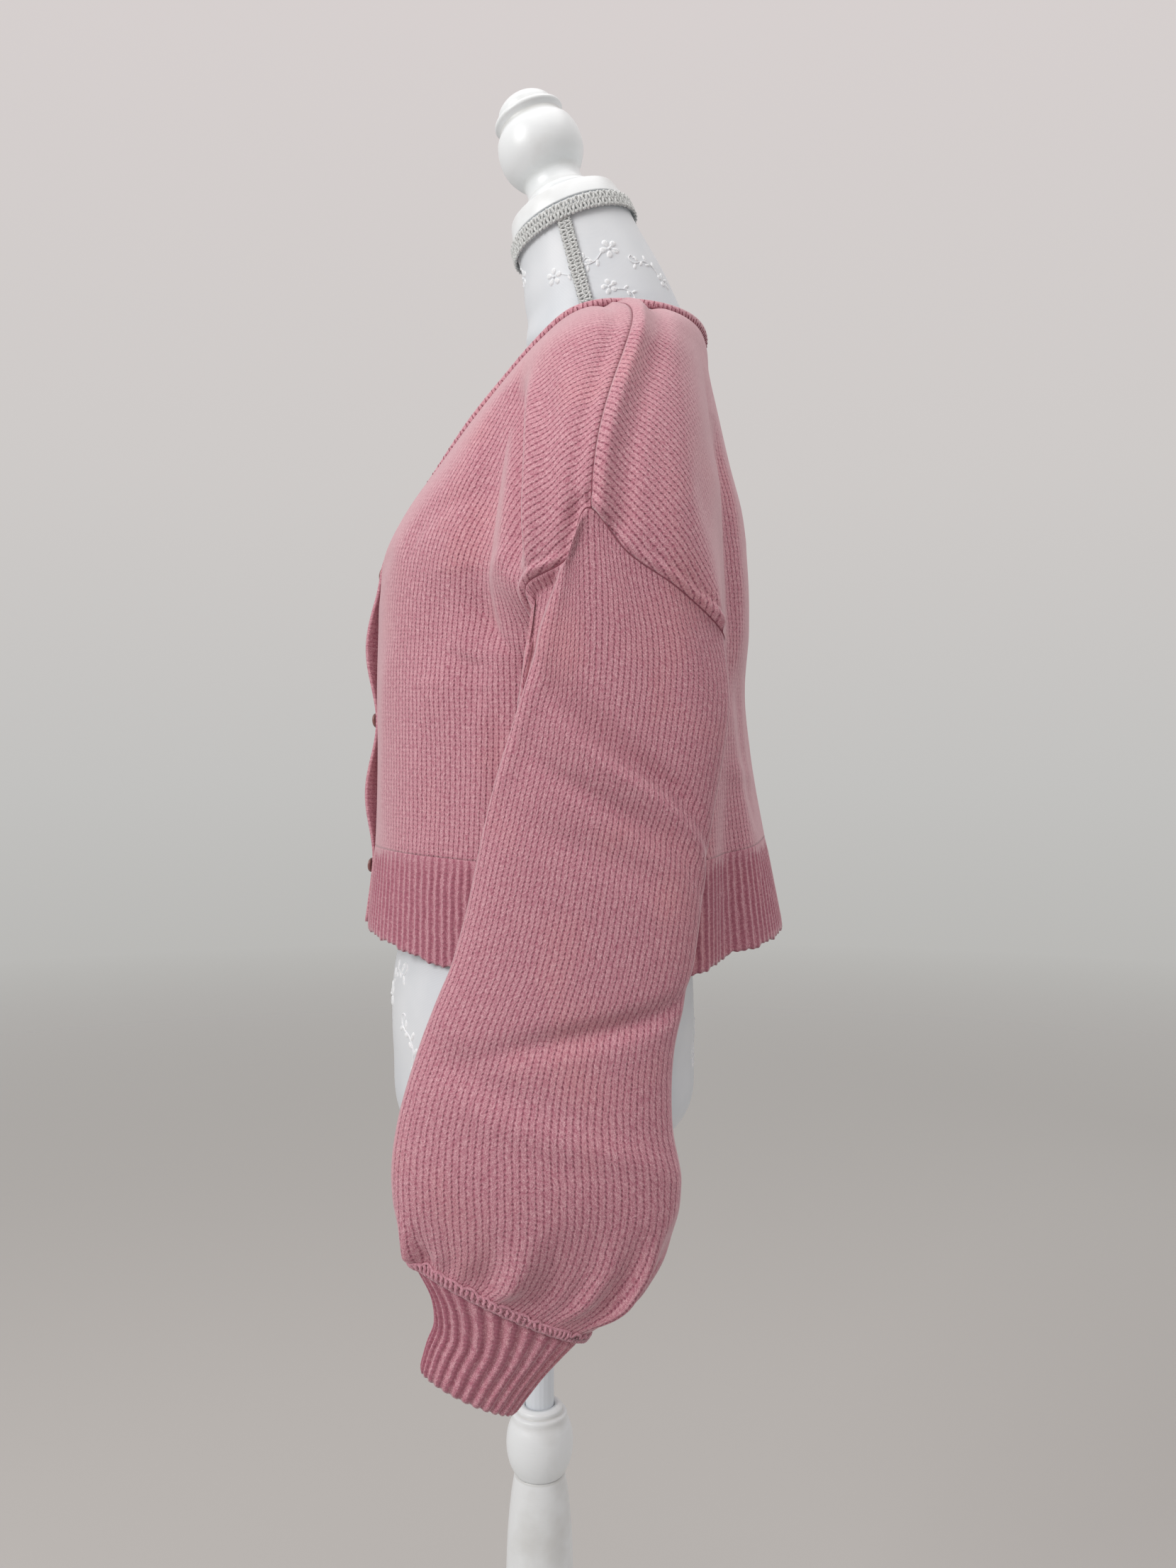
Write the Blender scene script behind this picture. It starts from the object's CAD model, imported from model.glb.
# %% [markdown]
# # A knitted cardigan on a dress form
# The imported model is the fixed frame: its nodes give every place and size. This lesson gives
# each piece its real surface: knitted walls with creases and seams, ribs, an embroidered
# satin form, gimp braid and painted wood. Lengths are metres, +Z is up, -Y is the wearer's
# front and +X the wearer's left.

# %% Load the frame
import math

import bmesh
import bpy
import numpy as np
from mathutils import Matrix, Vector
from mathutils.bvhtree import BVHTree


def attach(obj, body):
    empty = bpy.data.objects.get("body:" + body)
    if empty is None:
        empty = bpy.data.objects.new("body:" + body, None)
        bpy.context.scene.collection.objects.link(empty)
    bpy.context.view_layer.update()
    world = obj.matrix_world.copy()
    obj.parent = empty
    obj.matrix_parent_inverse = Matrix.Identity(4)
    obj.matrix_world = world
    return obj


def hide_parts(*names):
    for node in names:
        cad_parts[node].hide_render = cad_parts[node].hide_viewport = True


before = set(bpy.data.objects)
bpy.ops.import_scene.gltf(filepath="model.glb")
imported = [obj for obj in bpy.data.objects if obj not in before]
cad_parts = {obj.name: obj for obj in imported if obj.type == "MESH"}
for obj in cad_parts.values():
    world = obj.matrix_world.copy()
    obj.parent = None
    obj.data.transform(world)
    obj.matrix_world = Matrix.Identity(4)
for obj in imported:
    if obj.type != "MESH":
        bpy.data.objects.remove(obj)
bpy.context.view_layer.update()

# %% [markdown]
# ## The camera
# The photograph was taken level, about a metre from the form, with a phone's wide lens. A
# camera is placed by its point and its turn: looking along -X shows the wearer's left side.

# %% Camera
scene = bpy.context.scene
camera_data = bpy.data.cameras.new("camera")
camera_data.sensor_width = 36.0
camera_data.lens = 1700.0 / 2212.0 * 36.0
camera = bpy.data.objects.new("camera", camera_data)
camera.location = (1.0, 0.040, 1.01)
camera.rotation_euler = (math.radians(90.0), 0.0, math.radians(90.0))
scene.collection.objects.link(camera)
scene.camera = camera
scene.view_settings.view_transform = "Standard"

# %% [markdown]
# ## Tables that read smoothly
# A garment's form is easiest to keep as a short table of measured rings. A cubic curve
# through each column turns the table into a surface with no corners. numpy reads whole
# grids of points at once, which keeps a fine mesh quick to make.

# %% Smooth tables
def smooth_read(at, value, position):
    """A cubic curve through a column of a table, straight beyond its ends."""
    gaps, position = np.diff(at), np.asarray(position, float)
    slopes = np.diff(value) / gaps
    inner = (slopes[:-1] * gaps[1:] + slopes[1:] * gaps[:-1]) / (gaps[1:] + gaps[:-1])
    tangents = np.concatenate(([slopes[0]], inner, [slopes[-1]]))
    index = np.clip(np.searchsorted(at, position, side="right") - 1, 0, len(gaps) - 1)
    span = gaps[index]
    share = (position - at[index]) / span
    inside = np.clip(share, 0.0, 1.0)
    square, cube = inside ** 2, inside ** 3
    result = ((2 * cube - 3 * square + 1) * value[index] + (3 * square - 2 * cube) * value[index + 1]
              + (cube - 2 * square + inside) * span * tangents[index]
              + (cube - square) * span * tangents[index + 1])
    result = result + np.where(share < 0.0, tangents[0] * (position - at[0]), 0.0)
    return result + np.where(share > 1.0, tangents[-1] * (position - at[-1]), 0.0)


class Table:
    """Named columns of numbers. The first column is the one that the others are read at."""

    def __init__(self, names, *rows):
        self.names = names.split()
        self.rows = np.array(rows, float)

    def __call__(self, name, position):
        return smooth_read(self.rows[:, 0], self.column(name), position)

    def column(self, name):
        return self.rows[:, self.names.index(name)]

    def each(self):
        return [dict(zip(self.names, (float(v) for v in row))) for row in self.rows]


def soft_step(share):
    share = np.clip(share, 0.0, 1.0)
    return share * share * (3.0 - 2.0 * share)


def bump(distance, width):
    return np.exp(-(distance / width) ** 2)


def unit(vectors):
    return vectors / np.maximum(np.linalg.norm(vectors, axis=-1, keepdims=True), 1e-12)


# %% [markdown]
# ## The body's cloth as one surface
# Front, back, hem and bands all hang as one skin, so they share one function: an angle round
# the body and a height give a point. Rings from hem to neck carry the drape, a lobe at the
# side is the dropped shoulder, and a table of folds adds the long troughs and rolls.

# %% Body tables
BODY = Table("height front_lift back_lift centre_y half_width front_y back_y lobe",
             (0.8775, 0.0190, 0.0200, 0.050, 0.154, -0.1395, 0.1980, 0.000),
             (0.9520, 0.0095, 0.0170, 0.050, 0.156, -0.1335, 0.1840, 0.000),
             (1.0300, 0.0030, 0.0060, 0.052, 0.157, -0.1315, 0.1730, 0.000),
             (1.0900, 0.0000, 0.0000, 0.054, 0.158, -0.1320, 0.1690, 0.000),
             (1.1300, 0.0000, 0.0000, 0.055, 0.158, -0.1310, 0.1730, 0.030),
             (1.1600, 0.0000, 0.0000, 0.055, 0.158, -0.1300, 0.1725, 0.047),
             (1.1900, 0.0000, 0.0000, 0.055, 0.157, -0.1265, 0.1700, 0.055),
             (1.2250, 0.0000, 0.0000, 0.056, 0.155, -0.1090, 0.1655, 0.055),
             (1.2600, 0.0000, 0.0000, 0.057, 0.153, -0.0830, 0.1560, 0.047),
             (1.3000, 0.0000, 0.0000, 0.058, 0.150, -0.0520, 0.1465, 0.029),
             (1.3350, 0.0000, 0.0000, 0.060, 0.148, -0.0200, 0.1385, 0.006),
             (1.3600, 0.0000, 0.0000, 0.061, 0.120, 0.0020, 0.1370, 0.000),
             (1.3780, 0.0000, 0.0000, 0.061, 0.080, 0.0120, 0.1325, 0.000),
             (1.3920, 0.0000, 0.0000, 0.061, 0.056, 0.0200, 0.1250, 0.000))
BODY_FOLDS = Table("low high turn_low turn_high width depth",
                   (1.080, 1.300, -33.0, -34.0, 5.5, -0.0070),
                   (1.060, 1.290, 41.0, 40.0, 6.0, -0.0050),
                   (1.130, 1.320, 7.0, 9.0, 5.0, -0.0040),
                   (0.860, 1.080, 25.0, 30.0, 7.0, 0.0060),
                   (0.860, 1.060, 38.0, 42.0, 7.0, -0.0090),
                   (1.085, 1.165, -47.0, -42.0, 8.0, -0.0035),
                   (0.930, 1.100, -41.0, -37.0, 7.0, -0.0035),
                   (0.930, 1.200, 66.0, 72.0, 9.0, -0.0035))
HEM_HEIGHT, RIB_HEIGHT = 0.8775, 0.9520
OVAL_POWER = 2.2
LOBE_FRONT_DEG, LOBE_BACK_DEG, LOBE_SOFTNESS = 30.0, 36.0, 1.3
HEM_DIPS = Table("turn width drop", (25.0, 12.0, 0.0050), (-38.0, 19.0, 0.0085))
HEM_DIP_REACH = 0.060


# %% Body surface
def body_folds(turn, height):
    total = np.zeros(np.broadcast(turn, height).shape)
    for fold in BODY_FOLDS.each():
        share = (height - fold["low"]) / (fold["high"] - fold["low"])
        inside = np.clip(share, 0.0, 1.0)
        middle = fold["turn_low"] + (fold["turn_high"] - fold["turn_low"]) * share
        fade = np.sin(np.pi * inside) ** 0.7
        if fold["low"] < HEM_HEIGHT:
            fade = np.cos(0.5 * np.pi * inside)
        fade = np.where((share > 0.0) & (share < 1.0), fade, 0.0)
        total = total + fold["depth"] * fade * bump(turn - middle, fold["width"])
    return total


def body_points(turn, height, lobe=1.0):
    """Points of the cloth's outer face on the wearer's left half."""
    turn, height = np.broadcast_arrays(np.asarray(turn, float), np.asarray(height, float))
    angle = np.radians(turn)
    cosine, sine = np.cos(angle), np.sin(angle)
    centre_y = BODY("centre_y", height)
    ahead = turn < 0.0
    depth = np.where(ahead, centre_y - BODY("front_y", height), BODY("back_y", height) - centre_y)
    lift = np.where(ahead, BODY("front_lift", height), BODY("back_lift", height)) * sine ** 2
    across = (np.abs(cosine) / BODY("half_width", height)) ** OVAL_POWER
    reach = (across + (np.abs(sine) / depth) ** OVAL_POWER) ** (-1.0 / OVAL_POWER)
    edge = np.where(ahead, LOBE_FRONT_DEG, LOBE_BACK_DEG)
    share = np.maximum(0.0, 1.0 - (turn / edge) ** 2) ** LOBE_SOFTNESS
    reach = reach + lobe * np.maximum(0.0, BODY("lobe", height)) * share
    if lobe > 0.0:
        reach = reach + body_folds(turn, height)
    dip = sum(row["drop"] * bump(turn - row["turn"], row["width"]) for row in HEM_DIPS.each())
    dip = dip * soft_step(1.0 - (height - HEM_HEIGHT) / HEM_DIP_REACH)
    return np.stack((reach * cosine, centre_y + reach * sine, height + lift - dip), axis=-1)


def body_normals(turn, height, lobe=1.0):
    turn, step = np.clip(turn, -89.9, 89.9), 0.05
    round_body = body_points(turn + step, height, lobe) - body_points(turn - step, height, lobe)
    upward = body_points(turn, height + 1e-4, lobe) - body_points(turn, height - 1e-4, lobe)
    return unit(np.cross(round_body, upward))


RUN_HEIGHTS = np.linspace(HEM_HEIGHT, 1.392, 161)
SIDE_LINE = body_points(np.zeros(161), RUN_HEIGHTS)
RUNS = np.concatenate(([0.0], np.cumsum(np.linalg.norm(np.diff(SIDE_LINE, axis=0), axis=1))))


def run_at(height):
    """The cloth's own length up the side, which spaces rows evenly over the shoulder."""
    return np.interp(height, RUN_HEIGHTS, RUNS)


def height_at(run):
    return np.interp(run, RUNS, RUN_HEIGHTS)


print("cloth up the side, hem to neck: %.3f m" % RUNS[-1])

# %% [markdown]
# ## The armhole
# A dropped shoulder ends in a tilted loop, where body and sleeve are sewn. Nine points on a
# closed smooth curve are enough: 0 degrees is its top, 90 its back, 180 the underarm.

# %% Armhole
ARMHOLE = Table("round_deg x y z",
                (0.0, 0.214, 0.042, 1.190), (30.0, 0.215, 0.066, 1.161), (60.0, 0.209, 0.100, 1.138),
                (90.0, 0.188, 0.131, 1.111), (135.0, 0.170, 0.104, 1.0955), (180.0, 0.1625, 0.056, 1.085),
                (225.0, 0.169, 0.018, 1.113), (270.0, 0.190, -0.002, 1.142), (315.0, 0.210, 0.026, 1.158))


def armhole_points(round_deg):
    """Points of the armhole's loop; the table is read three times round so that it closes."""
    loops = np.concatenate([ARMHOLE.rows + (360.0 * lap, 0.0, 0.0, 0.0) for lap in (-1, 0, 1)])
    round_deg = np.asarray(round_deg, float) % 360.0
    return np.stack([smooth_read(loops[:, 0], loops[:, k], round_deg) for k in (1, 2, 3)], axis=-1)


def turn_of(points):
    return np.degrees(np.arctan2(points[..., 1] - BODY("centre_y", points[..., 2]), points[..., 0]))


UNDERARM, ARMHOLE_TOP = armhole_points(180.0), armhole_points(0.0)
UNDERARM_TURN, TOP_TURN = float(turn_of(UNDERARM)), float(turn_of(ARMHOLE_TOP))
loop = armhole_points(np.linspace(0.0, 360.0, 200))
print("armhole loop: %.3f m" % np.linalg.norm(np.diff(loop, axis=0), axis=1).sum())

# %% [markdown]
# ## Panels between their edges
# A knitted front is a flat shape with four edges, and it hangs on the body's surface. A
# patch blends a point from its four edges, once on the body and once on the flat piece. The
# flat one becomes the UV map in real metres, so that the stitches run as the piece was knitted.

# %% Panel edges on the body
BAND_WIDTH = 0.014
V_HEIGHT = 1.196
NECKLINE = Table("share turn height", (0.00, -87.6, V_HEIGHT), (0.22, -79.0, 1.239), (0.48, -65.0, 1.284),
                 (0.72, -47.0, 1.330), (0.88, -24.0, 1.358), (1.00, 0.0, 1.371))
BACK_MIDDLE = Table("share height", (0.0, RIB_HEIGHT), (0.333, 1.083), (0.667, 1.178), (1.0, 1.367))
NECK_SIDE_HEIGHT, BACK_NECK_HEIGHT = 1.371, 1.367
SEAM_BOW_DEG = 5.0
UNDERARM_SHARE, V_SHARE = 5.0 / 15.0, 8.0 / 15.0
NECK_SHARE = 7.0 / 19.0
TURN_REACH, RUN_REACH, PULL_START = 1.0, 2.3, 0.45


def pair(first, second):
    first, second = np.broadcast_arrays(first, second)
    return np.stack((first, second), axis=-1)


def side_edge(up, front):
    low, high = run_at(RIB_HEIGHT), run_at(UNDERARM[2])
    seam = pair(UNDERARM_TURN, low + (high - low) * up / UNDERARM_SHARE)
    around = np.clip((up - UNDERARM_SHARE) / (1.0 - UNDERARM_SHARE), 0.0, 1.0)
    points = armhole_points(180.0 + 180.0 * around if front else 180.0 - 180.0 * around)
    return np.where((up <= UNDERARM_SHARE)[..., None], seam, pair(turn_of(points), run_at(points[..., 2])))


def side_pull(up, front):
    """From the body's surface to where the panel's outer edge really hangs."""
    edge = side_edge(up, front)
    turn, height = edge[..., 0], height_at(edge[..., 1])
    rest = UNDERARM - body_points(UNDERARM_TURN, UNDERARM[2], 0.0)
    seam = body_points(turn, height, 0.0) + rest * ((up / UNDERARM_SHARE) ** 2)[..., None]
    around = np.clip((up - UNDERARM_SHARE) / (1.0 - UNDERARM_SHARE), 0.0, 1.0)
    loop = armhole_points(180.0 + 180.0 * around if front else 180.0 - 180.0 * around)
    return np.where((up <= UNDERARM_SHARE)[..., None], seam, loop) - body_points(turn, height)


def front_edge_turn(height):
    depth = BODY("centre_y", height) - BODY("front_y", height)
    return -90.0 + np.degrees(np.arctan2(0.5 * BAND_WIDTH, depth))


def front_inner_edge(up):
    low, high = run_at(RIB_HEIGHT), run_at(V_HEIGHT)
    run = low + (high - low) * np.minimum(up, V_SHARE) / V_SHARE
    along = np.clip((up - V_SHARE) / (1.0 - V_SHARE), 0.0, 1.0)
    neck = pair(NECKLINE("turn", along), run_at(NECKLINE("height", along)))
    return np.where((up <= V_SHARE)[..., None], pair(front_edge_turn(height_at(run)), run), neck)


def bottom_edge(across, front):
    start = front_edge_turn(RIB_HEIGHT) if front else 90.0
    return pair(start + (UNDERARM_TURN - start) * across, run_at(RIB_HEIGHT))


def shoulder_seam(share):
    low, high = run_at(ARMHOLE_TOP[2]), run_at(NECK_SIDE_HEIGHT)
    bow_back = SEAM_BOW_DEG * share * (1.0 - share) ** 3 * 256.0 / 27.0
    return pair(TOP_TURN * soft_step(share) + bow_back, high + (low - high) * share)


def back_inner_edge(up):
    return pair(90.0, run_at(BACK_MIDDLE("height", up)))


def back_top(across):
    along = np.minimum(across / NECK_SHARE, 1.0)
    neck = pair(90.0 * (1.0 - along),
                run_at(BACK_NECK_HEIGHT + (NECK_SIDE_HEIGHT - BACK_NECK_HEIGHT) * along ** 2))
    seam = shoulder_seam(np.clip((across - NECK_SHARE) / (1.0 - NECK_SHARE), 0.0, 1.0))
    return np.where((across <= NECK_SHARE)[..., None], neck, seam)


# %% Patches
FLAT_WIDTH, FLAT_V, FLAT_UNDERARM = 0.285, 0.235, 0.165
FLAT_NECK, FLAT_NECK_HEIGHT, FLAT_BACK_NECK, FLAT_ARM_TOP = 0.075, 0.490, 0.475, 0.395


def patch(left, right, bottom, top, across, up, reach):
    """A grid of pairs inside four edges: rows run up, columns run across."""
    a, u = across[None, :, None], up[:, None, None]
    grid = left(up)[:, None] * (1.0 - a) + right(up)[:, None] * a
    zero, one = np.zeros(1), np.ones(1)
    for edge, near in ((bottom, 1.0 - u), (top, u)):
        bowed = edge(across) - edge(zero) * (1.0 - across[:, None]) - edge(one) * across[:, None]
        grid = grid + bowed[None] * near ** np.array(reach)
    return grid


def flat_side(up):
    arm = FLAT_UNDERARM + (FLAT_ARM_TOP - FLAT_UNDERARM) * (up - UNDERARM_SHARE) / (1.0 - UNDERARM_SHARE)
    return pair(FLAT_WIDTH, np.where(up <= UNDERARM_SHARE, FLAT_UNDERARM * up / UNDERARM_SHARE, arm))


def flat_front_inner(up):
    along = np.clip((up - V_SHARE) / (1.0 - V_SHARE), 0.0, 1.0)
    rise = np.where(up <= V_SHARE, FLAT_V * up / V_SHARE, FLAT_V + (FLAT_NECK_HEIGHT - FLAT_V) * along)
    return pair(FLAT_NECK * along, rise)


def flat_back_top(across):
    along = np.minimum(across / NECK_SHARE, 1.0)
    seam = np.clip((across - NECK_SHARE) / (1.0 - NECK_SHARE), 0.0, 1.0)
    rise = FLAT_BACK_NECK + (FLAT_NECK_HEIGHT - FLAT_BACK_NECK) * along ** 2
    return pair(FLAT_NECK * along + (FLAT_WIDTH - FLAT_NECK) * seam,
                rise + (FLAT_ARM_TOP - FLAT_NECK_HEIGHT) * seam)


def flat_top(across):
    return pair(FLAT_NECK + (FLAT_WIDTH - FLAT_NECK) * across,
                FLAT_NECK_HEIGHT + (FLAT_ARM_TOP - FLAT_NECK_HEIGHT) * across)


def flat_bottom(across):
    return pair(FLAT_WIDTH * across, 0.0)


SPREAD_PASSES = 150


def spread(grid, passes=SPREAD_PASSES):
    """The grid with its lines evened out, so that none crosses another. The edges stay."""
    grid = grid.copy()
    drift = np.zeros_like(grid[1:-1, 1:-1])
    for _ in range(passes):
        around = 0.25 * (grid[:-2, 1:-1] + grid[2:, 1:-1] + grid[1:-1, :-2] + grid[1:-1, 2:])
        drift = 0.9 * drift + (around - grid[1:-1, 1:-1])
        grid[1:-1, 1:-1] += drift
    return grid


def half_panel(front, across, up):
    """Points and flat places of the left front, or of the left half of the back."""
    inner = front_inner_edge if front else back_inner_edge
    top = shoulder_seam if front else back_top
    place = patch(inner, lambda s: side_edge(s, front), lambda s: bottom_edge(s, front), top,
                  across, up, (TURN_REACH, RUN_REACH))
    if not front:
        place = spread(place)
    points = body_points(place[..., 0], height_at(place[..., 1]))
    weight = soft_step((across - PULL_START) / (1.0 - PULL_START))
    points = points + side_pull(up, front)[:, None] * weight[None, :, None]
    flat_inner = flat_front_inner if front else (lambda s: pair(0.0, FLAT_BACK_NECK * s))
    flat = patch(flat_inner, flat_side, flat_bottom, flat_top if front else flat_back_top,
                 across, up, (1.0, 1.0))
    return points, flat if front else spread(flat)


LOW_ROWS, ARM_ROWS = 66, 165
FRONT_COLUMNS, BACK_COLUMNS = 144, 171
up_shares = np.concatenate((np.linspace(0.0, UNDERARM_SHARE, LOW_ROWS, endpoint=False),
                            np.linspace(UNDERARM_SHARE, 1.0, ARM_ROWS + 1)))
front_points, front_flat = half_panel(True, np.linspace(0.0, 1.0, FRONT_COLUMNS + 1), up_shares)
back_points, back_flat = half_panel(False, np.linspace(0.0, 1.0, BACK_COLUMNS + 1), up_shares)
print("front grid", front_points.shape, "back grid", back_points.shape)

# %% [markdown]
# ## Laying the cloth flat
# Stitches keep their size wherever the cloth goes, so the map that places them must have the
# cloth's own lengths. A net of springs along the grid's rows, columns and diagonals settles to
# those lengths on a table, as a paper pattern would be smoothed out.

# %% Settle the knitted maps
COARSE = 3
SETTLE_STEPS, SETTLE_SWING = 900, 0.97


def settled(points, flat, middle_pinned, long_springs=()):
    """The flat map of a panel, with the lengths of the hung cloth."""
    hung, net = points[::COARSE, ::COARSE], flat[::COARSE, ::COARSE].copy()
    ends = [(np.s_[:, :-1], np.s_[:, 1:]), (np.s_[:-1], np.s_[1:]),
            (np.s_[:-1, :-1], np.s_[1:, 1:]), (np.s_[:-1, 1:], np.s_[1:, :-1])]
    for k in long_springs:
        ends += [(np.s_[:, :-k], np.s_[:, k:]), (np.s_[:-k], np.s_[k:]),
                 (np.s_[:-k, :-k], np.s_[k:, k:]), (np.s_[:-k, k:], np.s_[k:, :-k])]
    lengths = [np.linalg.norm(hung[b] - hung[a], axis=-1) for a, b in ends]
    net[0] = pair(np.concatenate(([0.0], np.cumsum(lengths[0][0]))), 0.0)
    shares = np.zeros(net.shape[:2])
    for a, b in ends:
        shares[a] += 1.0
        shares[b] += 1.0
    drift = np.zeros_like(net)
    for _ in range(SETTLE_STEPS):
        move = np.zeros_like(net)
        for (a, b), length in zip(ends, lengths):
            apart = net[b] - net[a]
            pull = 0.5 * apart * (1.0 - length / np.linalg.norm(apart, axis=-1))[..., None]
            move[a] += pull
            move[b] -= pull
        drift = SETTLE_SWING * drift + move / shares[..., None]
        drift[0] = 0.0
        if middle_pinned:
            drift[:, 0, 0] = 0.0
        net = net + drift
    across, up = np.arange(flat.shape[1]) / COARSE, np.arange(flat.shape[0]) / COARSE
    wide = np.stack([[np.interp(across, np.arange(net.shape[1]), line) for line in net[..., k]] for k in (0, 1)], -1)
    fine = np.stack([np.array([np.interp(up, np.arange(net.shape[0]), line) for line in wide[..., k].T]).T
                     for k in (0, 1)], -1)
    error = np.linalg.norm(net[ends[2][1]] - net[ends[2][0]], axis=-1) / lengths[2]
    print("diagonals kept to %.2f..%.2f of their length" % (np.quantile(error, 0.02), np.quantile(error, 0.98)))
    return fine


def askew_beyond(line, low, degrees):
    """Turns the map of each face beyond a fold, where the drop shoulder's cloth lies askew."""
    sine, cosine = math.sin(math.radians(degrees)), math.cos(math.radians(degrees))

    def turn(places):
        middle = places.mean(axis=-2, keepdims=True)
        side = np.where(middle[..., 0] < 0.0, -1.0, 1.0)
        u, v = places[..., 0] * side, places[..., 1]
        turned = np.stack(((u * cosine - v * sine) * side, u * sine + v * cosine), axis=-1)
        beyond = (np.abs(middle[..., 0]) > line("u", middle[..., 1])) & (middle[..., 1] > low)
        return np.where(beyond[..., None], turned, places)
    return turn


front_knit, back_knit = settled(front_points, front_flat, False), settled(back_points, back_flat, True, (3, 8))
FRONT_FOLD_LINE = Table("v u", (0.2374, 0.2389), (0.2858, 0.2196), (0.3243, 0.1998), (0.3665, 0.1519),
                        (0.3874, 0.1413), (0.420, 0.125), (0.470, 0.100))
BACK_FOLD_TURN = 40.0
back_turns = turn_of(back_points)
fold_rows = [row for row in range(LOW_ROWS + 12, len(back_points) - 3) if back_turns[row].min() < BACK_FOLD_TURN]
fold_places = [[np.interp(-BACK_FOLD_TURN, -back_turns[row], back_knit[row, :, k]) for k in (1, 0)]
               for row in fold_rows[::9]]
BACK_FOLD_LINE = Table("v u", *sorted(fold_places))
print("back fold line:", *(np.round(BACK_FOLD_LINE.column(name)[[0, -1]], 3) for name in "vu"))
front_askew = askew_beyond(FRONT_FOLD_LINE, 0.235, 30.0)
back_askew = askew_beyond(BACK_FOLD_LINE, 0.190, 24.0)

# %% [markdown]
# ## Creases and seam ridges
# Real cloth is never as even as its rings. A crease is a line on the flat piece with a width
# and a depth, faded at both ends, and it lifts or sinks the cloth along its own outward
# direction. A seam is a narrow roll beside a groove, placed by its distance from the edge.

# %% Relief tools
def grid_normals(grid, closed=False):
    """Outward directions of a grid whose columns run round the body and rows run up."""
    if closed:
        across = np.roll(grid, -1, axis=1) - np.roll(grid, 1, axis=1)
    else:
        across = np.gradient(grid, axis=1)
    return unit(np.cross(across, np.gradient(grid, axis=0)))


def evened(field, closed=False, passes=4):
    """A grid of vectors or numbers averaged with its neighbours."""
    for _ in range(passes):
        padded = np.concatenate((field[:1], field, field[-1:]), axis=0)
        field = 0.25 * padded[:-2] + 0.5 * padded[1:-1] + 0.25 * padded[2:]
        if closed:
            field = 0.5 * field + 0.25 * (np.roll(field, 1, axis=1) + np.roll(field, -1, axis=1))
        else:
            padded = np.concatenate((field[:, :1], field, field[:, -1:]), axis=1)
            field = 0.25 * padded[:, :-2] + 0.5 * padded[:, 1:-1] + 0.25 * padded[:, 2:]
    return field


def creases(flat, table):
    """Soft troughs and ridges along lines of the flat piece."""
    relief = np.zeros(flat.shape[:2])
    for line in table.each():
        start = np.array((line["u0"], line["v0"]))
        run = np.array((line["u1"], line["v1"])) - start
        length = np.linalg.norm(run)
        along = (flat - start) @ run / length
        aside = (flat - start) @ np.array((-run[1], run[0])) / length
        aside = aside - line["bend"] * np.sin(np.pi * np.clip(along / length, 0.0, 1.0))
        ends = soft_step(along / (0.35 * length) + 0.2) * soft_step((length - along) / (0.35 * length) + 0.2)
        relief += line["depth"] * ends * bump(aside, line["width"])
    return relief


def from_edge(grid, side):
    """Each point's distance along its grid line from one edge of the grid."""
    axis = 0 if side in ("bottom", "top") else 1
    ordered = grid if side in ("bottom", "left") else np.flip(grid, axis)
    steps = np.linalg.norm(np.diff(ordered, axis=axis), axis=-1)
    start = np.zeros(steps.shape[:axis] + (1,) + steps.shape[axis + 1:])
    lengths = np.concatenate((start, np.cumsum(steps, axis=axis)), axis=axis)
    return lengths if side in ("bottom", "left") else np.flip(lengths, axis)


CREASE = "u0 v0 u1 v1 width bend depth"
FRONT_CREASES = {
    "left": Table(CREASE,
                  (0.150, 0.175, 0.178, 0.118, 0.012, 0.004, -0.0024),
                  (0.205, 0.010, 0.190, 0.150, 0.011, 0.006, -0.0022),
                  (0.120, 0.000, 0.128, 0.120, 0.013, -0.005, -0.0016),
                  (0.060, 0.010, 0.066, 0.170, 0.014, 0.006, 0.0014),
                  (0.245, 0.130, 0.205, 0.245, 0.012, 0.006, -0.0028),
                  (0.232, 0.210, 0.246, 0.330, 0.010, 0.004, 0.0016),
                  (0.100, 0.250, 0.160, 0.340, 0.013, 0.006, -0.0016),
                  (0.015, 0.205, 0.075, 0.250, 0.010, 0.004, -0.0012)),
    "right": Table(CREASE,
                   (0.158, 0.190, 0.170, 0.128, 0.013, 0.003, -0.0022),
                   (0.214, 0.000, 0.200, 0.135, 0.012, 0.005, -0.0024),
                   (0.110, 0.000, 0.124, 0.140, 0.012, -0.006, -0.0017),
                   (0.052, 0.020, 0.058, 0.150, 0.013, 0.005, 0.0013),
                   (0.240, 0.140, 0.212, 0.262, 0.011, 0.005, -0.0025),
                   (0.090, 0.262, 0.150, 0.330, 0.014, 0.005, -0.0017),
                   (0.012, 0.215, 0.070, 0.268, 0.011, 0.004, -0.0013)),
}
BACK_CREASES = Table(CREASE,
                     (0.000, 0.180, 0.004, 0.380, 0.020, 0.006, -0.0022),
                     (0.090, 0.000, 0.082, 0.200, 0.014, -0.006, -0.0024),
                     (-0.100, 0.000, -0.088, 0.190, 0.013, 0.006, -0.0024),
                     (0.150, 0.100, 0.215, 0.240, 0.013, 0.006, -0.0026),
                     (-0.145, 0.110, -0.212, 0.246, 0.012, -0.005, -0.0026),
                     (0.050, 0.400, 0.190, 0.340, 0.014, 0.006, -0.0016),
                     (-0.056, 0.405, -0.185, 0.338, 0.013, -0.006, -0.0016),
                     (0.030, 0.060, 0.160, 0.085, 0.012, 0.004, 0.0012),
                     (-0.150, 0.130, -0.040, 0.115, 0.012, 0.004, 0.0012))
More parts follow.
